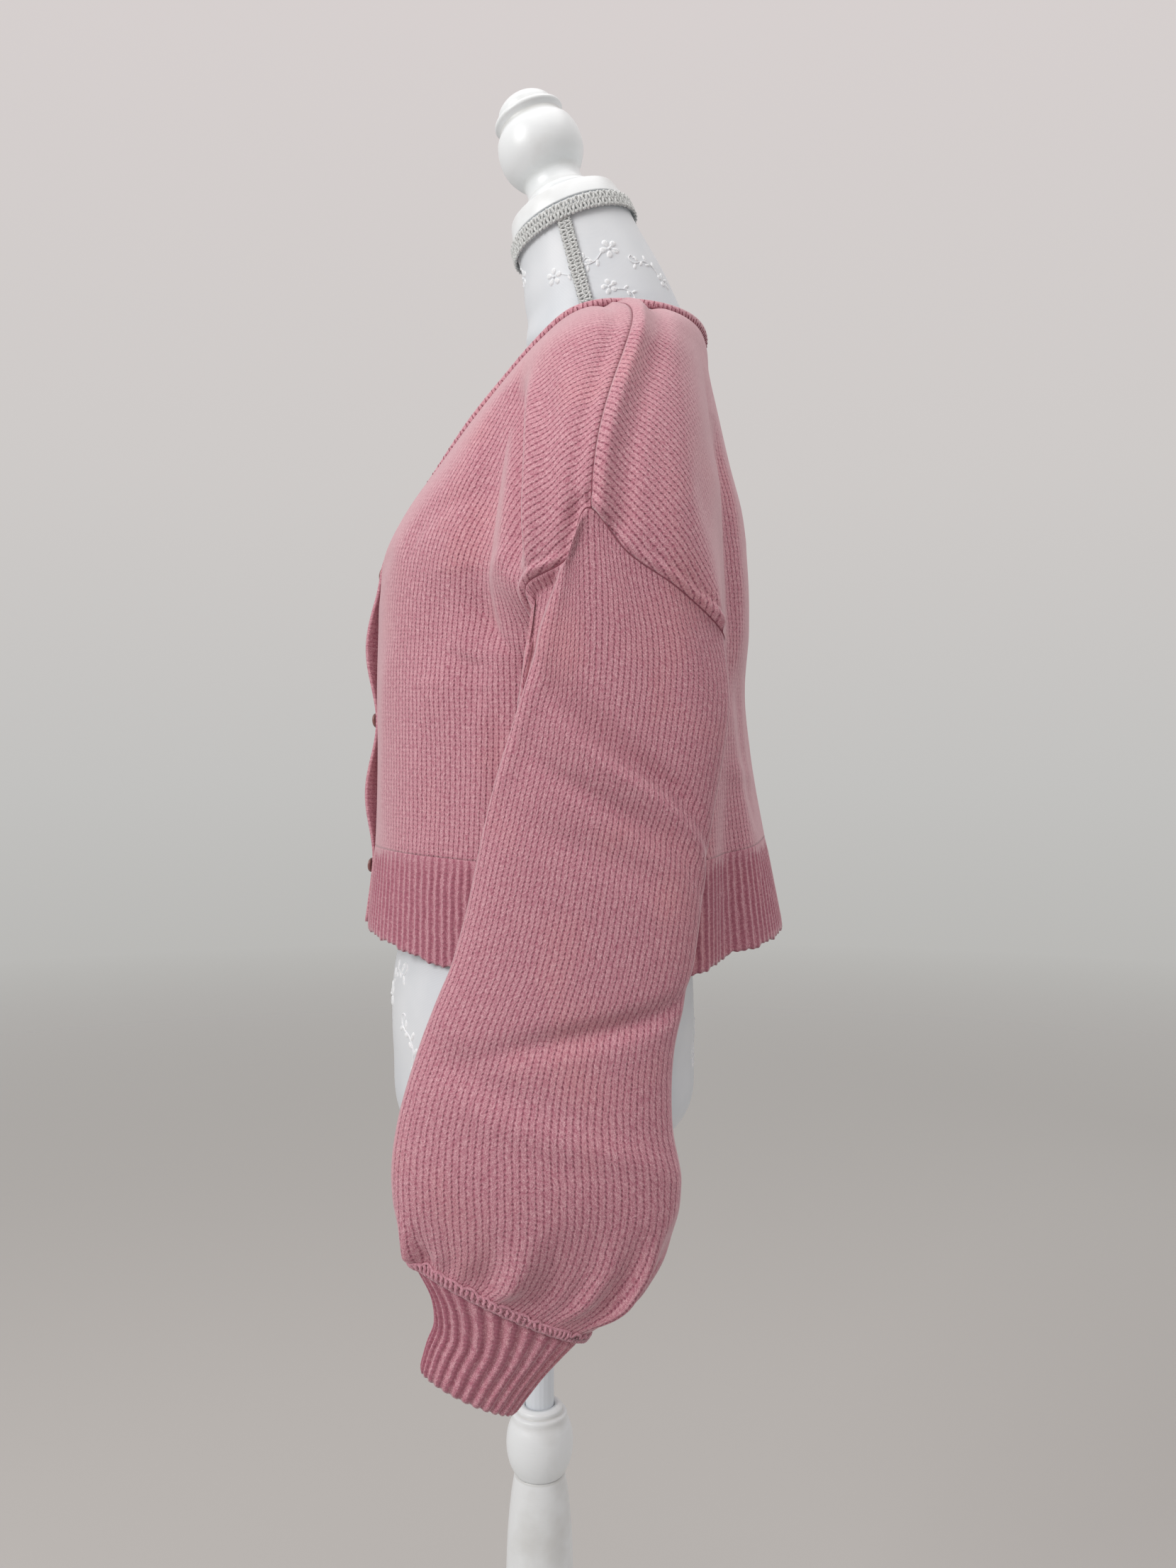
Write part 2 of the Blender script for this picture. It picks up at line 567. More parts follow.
FRONT_FOLDS = Table(CREASE,
                    (0.1433, 0.3874, 0.2409, 0.2374, 0.0090, 0.0146, 0.0058),
                    (0.1284, 0.3790, 0.2260, 0.2290, 0.0120, 0.0146, -0.0115),
                    (0.1640, 0.3900, 0.2500, 0.2600, 0.0110, 0.0146, -0.0022))
BACK_FOLD = {"ridge": (35.0, 5.0, 0.0022), "trough": (43.0, 5.5, -0.0034)}
BACK_FOLD_LOW, BACK_FOLD_HIGH = 1.10, 1.30


def back_fold(points, swing):
    """The soft fold behind the shoulder, where the sleeve's weight turns the cloth."""
    turns, heights = turn_of(points), points[..., 2]
    relief = sum(depth * bump(turns - at - swing, width) for at, width, depth in BACK_FOLD.values())
    return relief * soft_step((heights - BACK_FOLD_LOW) / 0.05) * soft_step((BACK_FOLD_HIGH - heights) / 0.06)


def distance_to(knit, line, finer=3):
    """Each point's distance on the flat map from an edge, given by its points."""
    at = np.arange(0.0, len(line) - 1.0 + 1e-9, 1.0 / finer)
    line = np.stack([np.interp(at, np.arange(len(line)), line[:, k]) for k in (0, 1)], axis=-1)
    nearest = np.full(knit.shape[:2], np.inf)
    for u, v in line:
        nearest = np.minimum(nearest, (knit[..., 0] - u) ** 2 + (knit[..., 1] - v) ** 2)
    return np.sqrt(nearest)


# %% [markdown]
# ## A wall of cloth
# Cloth shows its thickness at every open edge, so a panel is a closed wall and not a bare
# sheet. The outer face is fine, the inner one three times coarser, and the rim joins them:
# that keeps the triangles where they show. Each face corner gets its place on the flat piece.

# %% Wall builder
CLOTH = 0.0024
TRIANGLES = {}


def quad_corners(rows, spans):
    i, j = np.meshgrid(np.arange(rows - 1), np.arange(spans), indexing="ij")
    i, j = i.ravel(), j.ravel()
    return np.stack((i, i, i + 1, i + 1), axis=1), np.stack((j, j + 1, j + 1, j), axis=1)


def mesh_object(name, points, faces, body, finish, uv=None):
    mesh = bpy.data.meshes.new(name)
    mesh.from_pydata(np.asarray(points, float).tolist(), [], faces)
    if uv is not None:
        layer = mesh.uv_layers.new(name="flat")
        layer.data.foreach_set("uv", np.asarray(uv, np.float32).ravel())
    mesh.shade_smooth()
    mesh.materials.append(finish)
    item = bpy.data.objects.new(name, mesh)
    scene.collection.objects.link(item)
    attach(item, body)
    TRIANGLES[name] = sum(len(face) - 2 for face in faces)
    return item


def wall(name, outer, outward, flat, finish, closed=False, thick=CLOTH, flip=False, body="form", askew=None):
    """A closed wall: outer grid, coarser inner grid and a rim round the open edges."""
    rows, columns = outer.shape[:2]
    inner = (outer - outward * thick)[::COARSE, ::COARSE]
    points = np.concatenate((outer.reshape(-1, 3), inner.reshape(-1, 3)))
    faces, uv = [], []
    for grid_rows, grid_columns, start, step, turned in (
            (rows, columns, 0, 1, flip), (*inner.shape[:2], rows * columns, COARSE, not flip)):
        spans = grid_columns if closed else grid_columns - 1
        i, j = quad_corners(grid_rows, spans)
        if turned:
            i, j = i[:, ::-1], j[:, ::-1]
        faces += (start + i * grid_columns + j % grid_columns).tolist()
        places = flat[i * step, j * step]
        uv.append((askew(places) if askew else places).reshape(-1, 2))
    coarse_rows, coarse_columns = inner.shape[:2]

    def outer_id(i, j):
        return i * columns + j % columns

    def inner_id(i, j):
        return rows * columns + i * coarse_columns + j % coarse_columns

    spans = coarse_columns if closed else coarse_columns - 1
    rims = []
    for row, coarse_row, turned in ((0, 0, not flip), (rows - 1, coarse_rows - 1, flip)):
        for k in range(spans):
            fine = [(row, k * COARSE + step) for step in range(COARSE + 1)]
            rims.append((fine, [(coarse_row, k + 1), (coarse_row, k)], turned))
    if not closed:
        for column, coarse_column, turned in ((0, 0, flip), (columns - 1, coarse_columns - 1, not flip)):
            for k in range(coarse_rows - 1):
                fine = [(k * COARSE + step, column) for step in range(COARSE + 1)]
                rims.append((fine, [(k + 1, coarse_column), (k, coarse_column)], turned))
    for fine, coarse, turned in rims:
        face = [outer_id(i, j) for i, j in fine] + [inner_id(i, j) for i, j in coarse]
        places = [flat[i, j] for i, j in fine] + [flat[i * COARSE, j * COARSE] for i, j in coarse]
        faces.append(face[::-1] if turned else face)
        places = np.array(places[::-1] if turned else places)
        uv.append(askew(places) if askew else places)
    return mesh_object(name, points, faces, body, finish, np.concatenate(uv))


# %% [markdown]
# ## Finishes from nodes
# A finish is a small graph of nodes that ends in the Principled shader. A short helper adds
# a node and links whatever it is given, so that each finish below reads from top to bottom.

# %% Finish helper
def srgb(red, green, blue):
    def linear(value):
        value /= 255.0
        return value / 12.92 if value <= 0.04045 else ((value + 0.055) / 1.055) ** 2.4
    return (linear(red), linear(green), linear(blue), 1.0)


class Finish:
    """A material, and short ways to add the nodes that it needs."""

    def __init__(self, name, **sockets):
        self.material = bpy.data.materials.new(name)
        self.material.use_nodes = True
        self.nodes = self.material.node_tree.nodes
        self.links = self.material.node_tree.links
        self.shader = self.nodes["Principled BSDF"]
        for socket, value in sockets.items():
            self.set(self.shader, socket.replace("_", " "), value)

    def set(self, node, socket, value):
        target = node.inputs[socket]
        if isinstance(value, bpy.types.NodeSocket):
            self.links.new(value, target)
        else:
            target.default_value = value

    def add(self, kind, output=0, settings=None, **inputs):
        node = self.nodes.new(kind)
        for name, value in (settings or {}).items():
            setattr(node, name, value)
        for name, value in inputs.items():
            key = int(name[1:]) if name[0] == "i" and name[1:].isdigit() else name.replace("_", " ")
            self.set(node, key, value)
        return node.outputs[output]

    def maths(self, operation, *values):
        inputs = {"i%d" % index: value for index, value in enumerate(values)}
        return self.add("ShaderNodeMath", settings={"operation": operation}, **inputs)

    def place(self, uv=True):
        return self.add("ShaderNodeTexCoord", output="UV" if uv else "Object")

    def noise(self, vector, scale, detail=2.0):
        return self.add("ShaderNodeTexNoise", Vector=vector, Scale=scale, Detail=detail)

    def vector(self, x, y, z=0.0):
        return self.add("ShaderNodeCombineXYZ", X=x, Y=y, Z=z)

    def ramp(self, share, *stops):
        node = self.nodes.new("ShaderNodeValToRGB")
        self.links.new(share, node.inputs[0])
        points = node.color_ramp.elements
        while len(points) < len(stops):
            points.new(0.5)
        for point, (position, colour) in zip(points, stops):
            point.position = position
            point.color = colour if hasattr(colour, "__len__") else (colour, colour, colour, 1.0)
        return node.outputs[0]

    def mix(self, share, first, second, blend="MIX"):
        return self.add("ShaderNodeMix", output=2, settings={"data_type": "RGBA", "blend_type": blend},
                        i0=share, i6=first, i7=second)

    def spot(self, distance, width):
        """1 where the distance is 0, falling softly to nothing beyond the width."""
        share = self.maths("MULTIPLY", distance, 1.0 / width)
        return self.maths("EXPONENT", self.maths("MULTIPLY", self.maths("MULTIPLY", share, share), -1.0))

    def relief(self, height, distance, strength=1.0, under=None):
        node = self.nodes.new("ShaderNodeBump")
        self.set(node, "Height", height)
        self.set(node, "Distance", distance)
        self.set(node, "Strength", strength)
        if under is not None:
            self.set(node, "Normal", under)
        return node.outputs[0]

    def done(self, colour, normal=None):
        self.set(self.shader, "Base Color", colour)
        if normal is not None:
            self.set(self.shader, "Normal", normal)
        return self.material


# %% [markdown]
# ## Stocking stitch
# Each stitch of the right side is a V: two legs of yarn that lean outwards as they rise. On
# the flat map a wale is 4.4 mm wide and a row 3.3 mm high. A sawtooth that slides with the
# distance from the wale's middle draws the V, its height shades the legs, and the gaps between
# wales stay dark. The yarn is marled: a pale strand and a rose one twisted together.

# %% Wool finishes
WALE, ROW = 0.0044, 0.0033
HOLE, GROOVE, ROSE, PALE = srgb(110, 48, 66), srgb(154, 88, 106), srgb(180, 115, 131), srgb(222, 176, 184)
PEACH, HAZE, FELT = srgb(216, 152, 148), srgb(240, 220, 224), srgb(188, 156, 162)


def wool(name, wale=WALE, row=ROW, leg_share=1.0, holes=1.0, depth=1.0, shade=0.0, groove=0.42):
    """Knitted wool. leg_share is how much of a wale's width the V takes, depth how far it stands out."""
    finish = Finish(name, Roughness=0.95, Sheen_Weight=0.45, Sheen_Roughness=0.5,
                    Sheen_Tint=HAZE, Specular_IOR_Level=0.10)
    split = finish.add("ShaderNodeSeparateXYZ", Vector=finish.place()).node
    wobble = finish.noise(finish.place(False), 90.0, 1.0)
    shiver = finish.noise(finish.place(False), 420.0, 1.0)
    sway = finish.maths("MULTIPLY_ADD", shiver, 0.30, finish.maths("MULTIPLY", wobble, 0.35))
    u = finish.maths("MULTIPLY_ADD", split.outputs[0], 1.0 / wale, sway)
    v = finish.maths("MULTIPLY_ADD", split.outputs[1], 1.0 / row, finish.maths("MULTIPLY", sway, 1.8))
    aside = finish.maths("ABSOLUTE", finish.maths("SUBTRACT", finish.maths("FRACT", u), 0.5))
    aside = finish.maths("MINIMUM", finish.maths("MULTIPLY", aside, 2.0 / leg_share), 1.0)
    lean = finish.maths("SUBTRACT", v, finish.maths("MULTIPLY", aside, 0.6))
    beat = finish.maths("ABSOLUTE", finish.maths("SUBTRACT", finish.maths("FRACT", lean), 0.5))
    fibres = finish.noise(finish.vector(finish.maths("MULTIPLY", lean, 5.0), finish.maths("MULTIPLY", u, 2.4), v), 1.0, 3.0)
    marl = finish.noise(finish.vector(finish.maths("MULTIPLY", lean, 0.8), finish.maths("MULTIPLY", u, 1.9)), 1.0, 2.0)
    grain = finish.noise(finish.place(False), 1500.0, 2.0)
    cloud = finish.noise(finish.place(False), 14.0, 2.0)
    beside = finish.spot(finish.maths("SUBTRACT", 1.0, aside), 0.30)
    joint = finish.spot(finish.maths("SUBTRACT", 0.5, beat), 0.22)
    middle = finish.maths("MULTIPLY", finish.spot(aside, 0.22), finish.spot(beat, 0.20))
    sunk = finish.maths("MULTIPLY", beside, finish.maths("MULTIPLY_ADD", joint, 1.0 - groove, groove))
    sunk = finish.maths("MAXIMUM", sunk, finish.maths("MULTIPLY", joint, 0.14))
    sunk = finish.maths("MAXIMUM", sunk, finish.maths("MULTIPLY", middle, 0.26))
    felted = finish.ramp(finish.add("ShaderNodeLayerWeight", 1, Blend=0.5), (0.52, 0.0), (0.84, 1.0))
    clear = finish.maths("MULTIPLY_ADD", felted, -0.85 * depth, depth)
    sunk = finish.maths("MULTIPLY", sunk, finish.maths("MULTIPLY", clear, finish.maths("MULTIPLY_ADD", marl, 0.9, 0.58)))
    twist = finish.maths("MULTIPLY_ADD", marl, 0.55, finish.maths("MULTIPLY", fibres, 0.45))
    yarn = finish.mix(finish.ramp(twist, (0.36, 0.0), (0.62, 1.0)), ROSE, PALE)
    yarn = finish.mix(finish.ramp(grain, (0.40, 0.50 + shade), (0.60, shade)), yarn, GROOVE)
    yarn = finish.mix(finish.ramp(grain, (0.56, 0.0), (0.66, 0.55)), yarn, PALE)
    yarn = finish.mix(finish.ramp(cloud, (0.52, 0.0), (0.76, 0.22)), yarn, PEACH)
    yarn = finish.mix(finish.ramp(sunk, (0.08, 0.0), (0.50, 0.80)), yarn, GROOVE)
    yarn = finish.mix(finish.ramp(sunk, (0.56, 0.0), (0.98, holes)), yarn, HOLE)
    colour = finish.mix(finish.maths("MULTIPLY", felted, 0.62), yarn, FELT)
    body = finish.relief(finish.maths("SUBTRACT", 1.0, sunk), 0.0010, 0.75)
    return finish.done(colour, finish.relief(grain, 0.0004, 0.7, body))


stocking = wool("stocking stitch wool", holes=0.85, depth=0.90)
sleeve_wool = wool("sleeve wool", holes=0.75, depth=0.85, shade=0.06, groove=0.40)
rib_wool = wool("rib wool", wale=1.0, leg_share=0.84, holes=0.20, depth=0.62, shade=0.24, groove=0.62)
band_wool = wool("band wool", wale=0.0038, row=0.0031, holes=0.2, depth=0.35)
print("wool finishes:", stocking.name, "|", rib_wool.name, "|", band_wool.name)

# %% [markdown]
# ## Fronts and back
# The two fronts mirror each other but not their creases. Each replaces its plain solid, and
# is declared as a sheet with the size of its flat piece, so that the cut can be checked.

# %% Make the fronts and the back
LEFT, RIGHT = np.array((1.0, 1.0, 1.0)), np.array((-1.0, 1.0, 1.0))
RIDGE_AT, RIDGE_WIDTH, RIDGE_RISE = 0.0042, 0.0026, 0.0024
ROLL_AT, ROLL_WIDTH, ROLL_RISE = 0.0075, 0.0055, 0.0042
HOLLOW_AT, HOLLOW_WIDTH, HOLLOW_DEPTH = 0.0220, 0.0080, 0.0030
SEAM_PULL = 0.0014
around_share = np.clip((up_shares - UNDERARM_SHARE) / (1.0 - UNDERARM_SHARE), 0.0, 1.0)[:, None]


def panel_relief(knit, flat, table, folds, turned, front):
    """Creases, folds and the rolls beside the seams. All of it dies out at the edges."""
    arm = distance_to(knit, knit[LOW_ROWS:, -1])
    side_seam = distance_to(knit, knit[:LOW_ROWS + 1, -1])
    over = distance_to(knit, knit[-1] if front else knit[-1, int(NECK_SHARE * BACK_COLUMNS):])
    relief = creases(flat * (turned, 1.0), table) + folds
    ridge = RIDGE_RISE * bump(arm - RIDGE_AT, RIDGE_WIDTH) - 0.0006 * bump(arm - 0.0090, 0.0016)
    if front:
        tucked = soft_step((around_share - 0.70) / 0.10)
        ridge = ridge * (1.0 - tucked) - 0.0034 * tucked * bump(arm - 0.0045, 0.0060)
        relief += (0.0012 * bump(over - 0.0040, 0.0028)
                   - 0.0024 * bump(over - 0.0120, 0.0060) * soft_step(2.0 - over / 0.02))
    else:
        relief += ROLL_RISE * bump(over - ROLL_AT, ROLL_WIDTH) - HOLLOW_DEPTH * bump(over - HOLLOW_AT, HOLLOW_WIDTH)
    relief += ridge
    nearest = np.minimum(np.minimum(arm, side_seam), over)
    return relief * soft_step(nearest / SEAM_PULL) * soft_step(knit[..., 1] / 0.020)


for side, mirror, name in ((1, LEFT, "left"), (-1, RIGHT, "right")):
    outward = evened(grid_normals(front_points), passes=3)
    relief = panel_relief(front_knit, front_flat, FRONT_CREASES[name],
                          creases(front_knit, FRONT_FOLDS), 1.0, True)
    points = front_points + outward * relief[..., None]
    outward = unit(evened(grid_normals(points), passes=6))
    piece = wall("front_%s_knit" % name, points * mirror, outward * mirror, front_knit * (side, 1.0), stocking,
                 flip=side < 0, askew=front_askew)
    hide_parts("front_" + name)

normals = grid_normals(back_points[:, ::-1])[:, ::-1]
relief_left = panel_relief(back_knit, back_flat, BACK_CREASES, back_fold(back_points, 0.0), 1.0, False)
relief_right = panel_relief(back_knit, back_flat, BACK_CREASES, back_fold(back_points, 1.5), -1.0, False)
half_left = back_points + normals * relief_left[..., None]
half_right = (back_points + normals * relief_right[..., None]) * RIGHT
back_full = np.concatenate((half_right[:, ::-1], half_left[:, 1:]), axis=1)
flat_full = np.concatenate((back_knit[:, ::-1] * (-1.0, 1.0), back_knit[:, 1:]), axis=1)
back_full[:, BACK_COLUMNS, 0] = 0.0
outward = -unit(evened(grid_normals(back_full), passes=6))
piece = wall("back_knit", back_full, outward, flat_full, stocking, flip=True, askew=back_askew)
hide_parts("back")
half = [(0.0, 0.0), (FLAT_WIDTH, 0.0), (FLAT_WIDTH, FLAT_ARM_TOP), (FLAT_NECK, FLAT_NECK_HEIGHT), (0.0, FLAT_BACK_NECK)]
print("back", TRIANGLES["back_knit"], "triangles")

# %% [markdown]
# ## Cords and hand stitches
# Seams on a hand-knitted garment are sewn with the same yarn, and each stitch shows. A round
# cord along a line of points serves for stitches here and for braid and button thread later.

# %% Cords
def thread_finish(name, light, dark, roughness):
    finish = Finish(name, Roughness=roughness, Sheen_Weight=0.3, Specular_IOR_Level=0.4)
    place = finish.place(False)
    strands = finish.noise(finish.add("ShaderNodeMapping", Vector=place, Scale=(1600.0, 1600.0, 500.0)), 1.0, 2.0)
    colour = finish.mix(finish.ramp(strands, (0.3, 0.0), (0.65, 1.0)), dark, light)
    return finish.done(colour, finish.relief(strands, 0.0002, 0.7))


def tube_mesh(paths, radius, sides=6):
    """Round cords along lines of points, joined in one mesh with closed ends."""
    points, faces = [], []
    for path, closed in paths:
        path = np.asarray(path, float)
        count = len(path)
        if closed:
            ahead = unit(np.roll(path, -1, axis=0) - np.roll(path, 1, axis=0))
        else:
            ahead = unit(np.gradient(path, axis=0))
        seed = np.array((0.0, 0.0, 1.0)) if abs(ahead[0][2]) < 0.8 else np.array((1.0, 0.0, 0.0))
        first = unit(np.cross(ahead, seed))
        second = np.cross(ahead, first)
        start = len(points)
        for k in range(count):
            for side in range(sides):
                angle = 2.0 * math.pi * side / sides
                points.append(path[k] + radius * (first[k] * math.cos(angle) + second[k] * math.sin(angle)))
        for k in range(count if closed else count - 1):
            a, b = start + k * sides, start + ((k + 1) % count) * sides
            for side in range(sides):
                after = (side + 1) % sides
                faces.append([a + side, a + after, b + after, b + side])
        if not closed:
            faces.append([start + side for side in range(sides)][::-1])
            faces.append([start + (count - 1) * sides + side for side in range(sides)])
    return points, faces


def stitch_row(name, ends, radius, finish, rise=0.0007):
    """Short arched cords, each from one end to the other, over the cloth."""
    paths = []
    for first, second, outward in ends:
        share = np.linspace(0.0, 1.0, 5)[:, None]
        arch = 4.0 * share * (1.0 - share) * rise
        paths.append((first + (second - first) * share + outward * arch, False))
    points, faces = tube_mesh(paths, radius, 5)
    return mesh_object(name, points, faces, "form", finish)


seam_yarn = thread_finish("seam yarn", srgb(208, 156, 168), srgb(166, 104, 121), 0.9)
deep_yarn = thread_finish("deep rose yarn", srgb(150, 78, 94), srgb(108, 50, 66), 0.9)

# %% [markdown]
# ## The line of a seam
# Two panels are sewn edge to edge from the wrong side, and between their rolls a narrow dark
# line shows. A fine cord of deeper rose along each seam draws it: one round the armhole on
# each side of the loop, one over the shoulder and one down the side.

# %% Seam lines
SEAM_LINE_RADIUS = 0.0006
for mirror, name in ((LEFT, "left"), (RIGHT, "right")):
    lines = [front_points[LOW_ROWS:, -1], back_points[LOW_ROWS:, -1], front_points[-1], front_points[:LOW_ROWS + 1, -1]]
    points, faces = tube_mesh([(line * mirror, False) for line in lines], SEAM_LINE_RADIUS, 4)
    mesh_object("seam_line_" + name, points, faces, "form", deep_yarn)
print("seam lines:", len(lines), "on each side")

# %% [markdown]
# ## Sleeves
# A full sleeve is a flattened tube through rings, from the armhole to the cuff. Its creases lie
# across the upper arm where the cloth breaks, and gathers grow towards the cuff, where the full
# tube is drawn in. Uneven waves look more like gathering than one even wave does.

# %% Sleeve tables and surface
SLEEVE = Table("share front_y front_z back_y back_z middle_x half_thick",
               (0.00, 0.0040, 1.1320, 0.1310, 1.1100, 0.1900, 0.0260),
               (0.12, -0.0100, 1.0640, 0.1350, 1.0640, 0.1910, 0.0240),
               (0.30, -0.0300, 0.9780, 0.1225, 0.9780, 0.1915, 0.0230),
               (0.46, -0.0490, 0.8980, 0.1105, 0.8870, 0.1925, 0.0240),
               (0.60, -0.0705, 0.8420, 0.0975, 0.8300, 0.1940, 0.0270),
               (0.72, -0.0865, 0.7880, 0.0965, 0.7820, 0.1960, 0.0310),
               (0.82, -0.0910, 0.7500, 0.1020, 0.7440, 0.1975, 0.0330),
               (0.90, -0.0885, 0.7210, 0.0975, 0.7120, 0.1970, 0.0310),
               (0.95, -0.0840, 0.7060, 0.0830, 0.6800, 0.1960, 0.0270),
               (0.98, -0.0800, 0.6980, 0.0620, 0.6560, 0.1955, 0.0220),
               (1.00, -0.0768, 0.6923, 0.0350, 0.6402, 0.1950, 0.0190))
SLEEVE_FLAT = (0.376, 0.520)
FRONT_TUCK = Table("share round_deg", (0.0, -45.0), (0.064, -56.0), (0.114, -60.0), (0.140, -64.0), (0.250, -78.0),
                   (0.400, -84.0))
TUCK_DEPTH, TUCK_RISE = 0.0085, 0.0028
LOOP_FADE = 0.22
SLEEVE_ROWS, SLEEVE_COLUMNS = 264, 192
SLEEVE_FOLDS = Table("share round_deg slant width round_width depth",
                     (0.200, 8.0, 0.0016, 0.016, 58.0, -0.0058),
                     (0.235, 14.0, 0.0016, 0.014, 48.0, 0.0024),
                     (0.275, 12.0, 0.0014, 0.014, 48.0, -0.0042),
                     (0.330, 4.0, 0.0010, 0.020, 40.0, -0.0018),
                     (0.555, 30.0, -0.0010, 0.022, 50.0, -0.0046),
                     (0.640, -35.0, 0.0012, 0.026, 34.0, -0.0022),
                     (0.740, 20.0, 0.0010, 0.030, 46.0, 0.0018),
                     (0.300, 186.0, 0.0012, 0.020, 50.0, -0.0030),
                     (0.560, 200.0, -0.0010, 0.024, 45.0, -0.0036))
FOLD_GAIN = 1.5
GATHER_WAVES = Table("count phase depth start", (11.0, 0.4, 0.0040, 0.86), (17.0, 1.1, 0.0026, 0.87),
                     (27.0, 2.3, 0.0011, 0.93), (6.0, 0.6, 0.0030, 0.80))


def tube_points(table, share, round_deg):
    angle = np.radians(round_deg)
    lean = np.sin(angle)
    middle_y = 0.5 * (table("back_y", share) + table("front_y", share))
    half_y = 0.5 * (table("back_y", share) - table("front_y", share))
    middle_z = 0.5 * (table("back_z", share) + table("front_z", share))
    half_z = 0.5 * (table("back_z", share) - table("front_z", share))
    across = table("middle_x", share) + table("half_thick", share) * np.cos(angle)
    return np.stack((across, middle_y + half_y * lean, middle_z + half_z * lean), axis=-1)


def sleeve_relief(share, round_deg, swing):
    turned = (round_deg + 180.0) % 360.0 - 180.0
    relief = np.zeros(np.broadcast(share, round_deg).shape)
    for wave in GATHER_WAVES.each():
        fade = soft_step((share - wave["start"]) / (1.0 - wave["start"]))
        fade = fade * soft_step((1.0 - share) / 0.040)
        relief = relief + wave["depth"] * fade * np.cos(np.radians(wave["count"] * round_deg) + wave["phase"] * swing)
    for fold in SLEEVE_FOLDS.each():
        aside = (turned - fold["round_deg"] + 180.0) % 360.0 - 180.0
        middle = fold["share"] + 0.012 * (swing - 1.0) + fold["slant"] * aside
        relief = relief + FOLD_GAIN * fold["depth"] * bump(share - middle, fold["width"]) * bump(aside, fold["round_width"])
    ahead = turned - FRONT_TUCK("round_deg", share)
    start = soft_step(share / 0.016)
    tucked = soft_step((-ahead - 1.0) / 14.0) * soft_step((ahead + 78.0) / 34.0)
    tucked = tucked * (1.0 - soft_step((share - 0.10) / 0.12))
    relief = relief + start * (TUCK_RISE * bump(ahead - 5.0, 11.0) * (1.0 - soft_step((share - 0.2) / 0.2)) - TUCK_DEPTH * tucked)
    return relief + 0.0030 * bump(turned + 24.0, 20.0) * bump(share - 0.010, 0.008)


# %% Make the sleeves
share = np.interp(np.arange(SLEEVE_ROWS + 1.0), (0, 12, SLEEVE_ROWS - 15, SLEEVE_ROWS), (0.0, 0.015, 0.975, 1.0))[:, None]
round_deg = (180.0 + np.arange(SLEEVE_COLUMNS) * 360.0 / SLEEVE_COLUMNS)[None, :]
sleeve_base = tube_points(SLEEVE, share, round_deg)
loop = armhole_points(round_deg) - tube_points(SLEEVE, 0.0 * share[:1], round_deg)
sleeve_base = sleeve_base + loop * (1.0 - soft_step(share / LOOP_FADE))[..., None]
wrapped = np.concatenate((sleeve_base, sleeve_base[:, :1]), axis=1)
round_flat = evened(from_edge(wrapped, "left"), passes=6)
round_flat = round_flat / round_flat[:, -1:] * SLEEVE_FLAT[0]
sleeve_flat = np.stack((-round_flat, -from_edge(wrapped, "bottom")), axis=-1)
down_end = from_edge(sleeve_base, "top")

CUFF_RIDGE, SEAM_STITCHES = 0.0024, 96
STITCH_RUN = np.linspace(0.0060, 0.0006, 5)


def seam_path(points, outward, columns, distances, lift):
    """A line on the sleeve, given by columns and distances from the cuff's edge."""
    columns = np.round(columns).astype(int) % SLEEVE_COLUMNS
    rows = [int(np.abs(down_end[:, c] - d).argmin()) for c, d in zip(columns, distances)]
    return points[rows, columns] + outward[rows, columns] * lift


for side, mirror, name, swing in ((1, LEFT, "left", 1.0), (-1, RIGHT, "right", 1.6)):
    outward = -grid_normals(sleeve_base, closed=True)
    relief = sleeve_relief(share, round_deg, swing)
    relief = relief * soft_step(from_edge(sleeve_base, "bottom") / SEAM_PULL)
    relief = relief + CUFF_RIDGE * bump(down_end - 0.0032, 0.0026)
    points = sleeve_base + outward * relief[..., None]
    outward = -unit(evened(grid_normals(points, closed=True), True, 6))
    piece = wall("sleeve_%s_knit" % name, points * mirror, outward * mirror, sleeve_flat * (side, 1.0), sleeve_wool,
                 closed=True, flip=side > 0)
    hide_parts("sleeve_" + name)
    paths = []
    for k in range(SEAM_STITCHES):
        at = k * SLEEVE_COLUMNS / SEAM_STITCHES
        paths.append((seam_path(points, outward, at + np.linspace(0.0, 2.4, 5), STITCH_RUN, 0.0005) * mirror, False))
    every = np.arange(SLEEVE_COLUMNS)
    for distance, phase in ((0.0064, 0.0), (0.0010, 1.5)):
        wave = distance + 0.0005 * np.sin(every * 2.0 * np.pi * 32 / SLEEVE_COLUMNS + phase)
        paths.append((seam_path(points, outward, every, wave, 0.0004) * mirror, True))
    seam = mesh_object("cuff_seam_" + name, *tube_mesh(paths, 0.0012, 5), "form", seam_yarn)
    print(piece.name, TRIANGLES[piece.name], "triangles")

# %% [markdown]
# ## Ribs
# A single rib stands as a round cord with a narrow groove beside it. The hem's ribs run down
# from the panels; the cuff's ribs fan out where they meet the gathered sleeve. They are real
# relief, because they show in the outline of every edge.

# %% Rib shape
def rib_profile(phase, crest, groove):
    """phase 0 is the middle of a rib's crest, 0.5 its groove."""
    wave = np.cos(2.0 * np.pi * phase)
    return np.where(wave > -0.25, crest * np.sqrt(np.clip((wave + 0.25) / 1.25, 0.0, 1.0)),
                    groove * (wave + 0.25) / 0.75)


RIB_PITCH, RIB_COLUMNS, HEM_ROWS = 0.0068, 9, 30
HEM_CREST, HEM_GROOVE = 0.0006, 0.0008


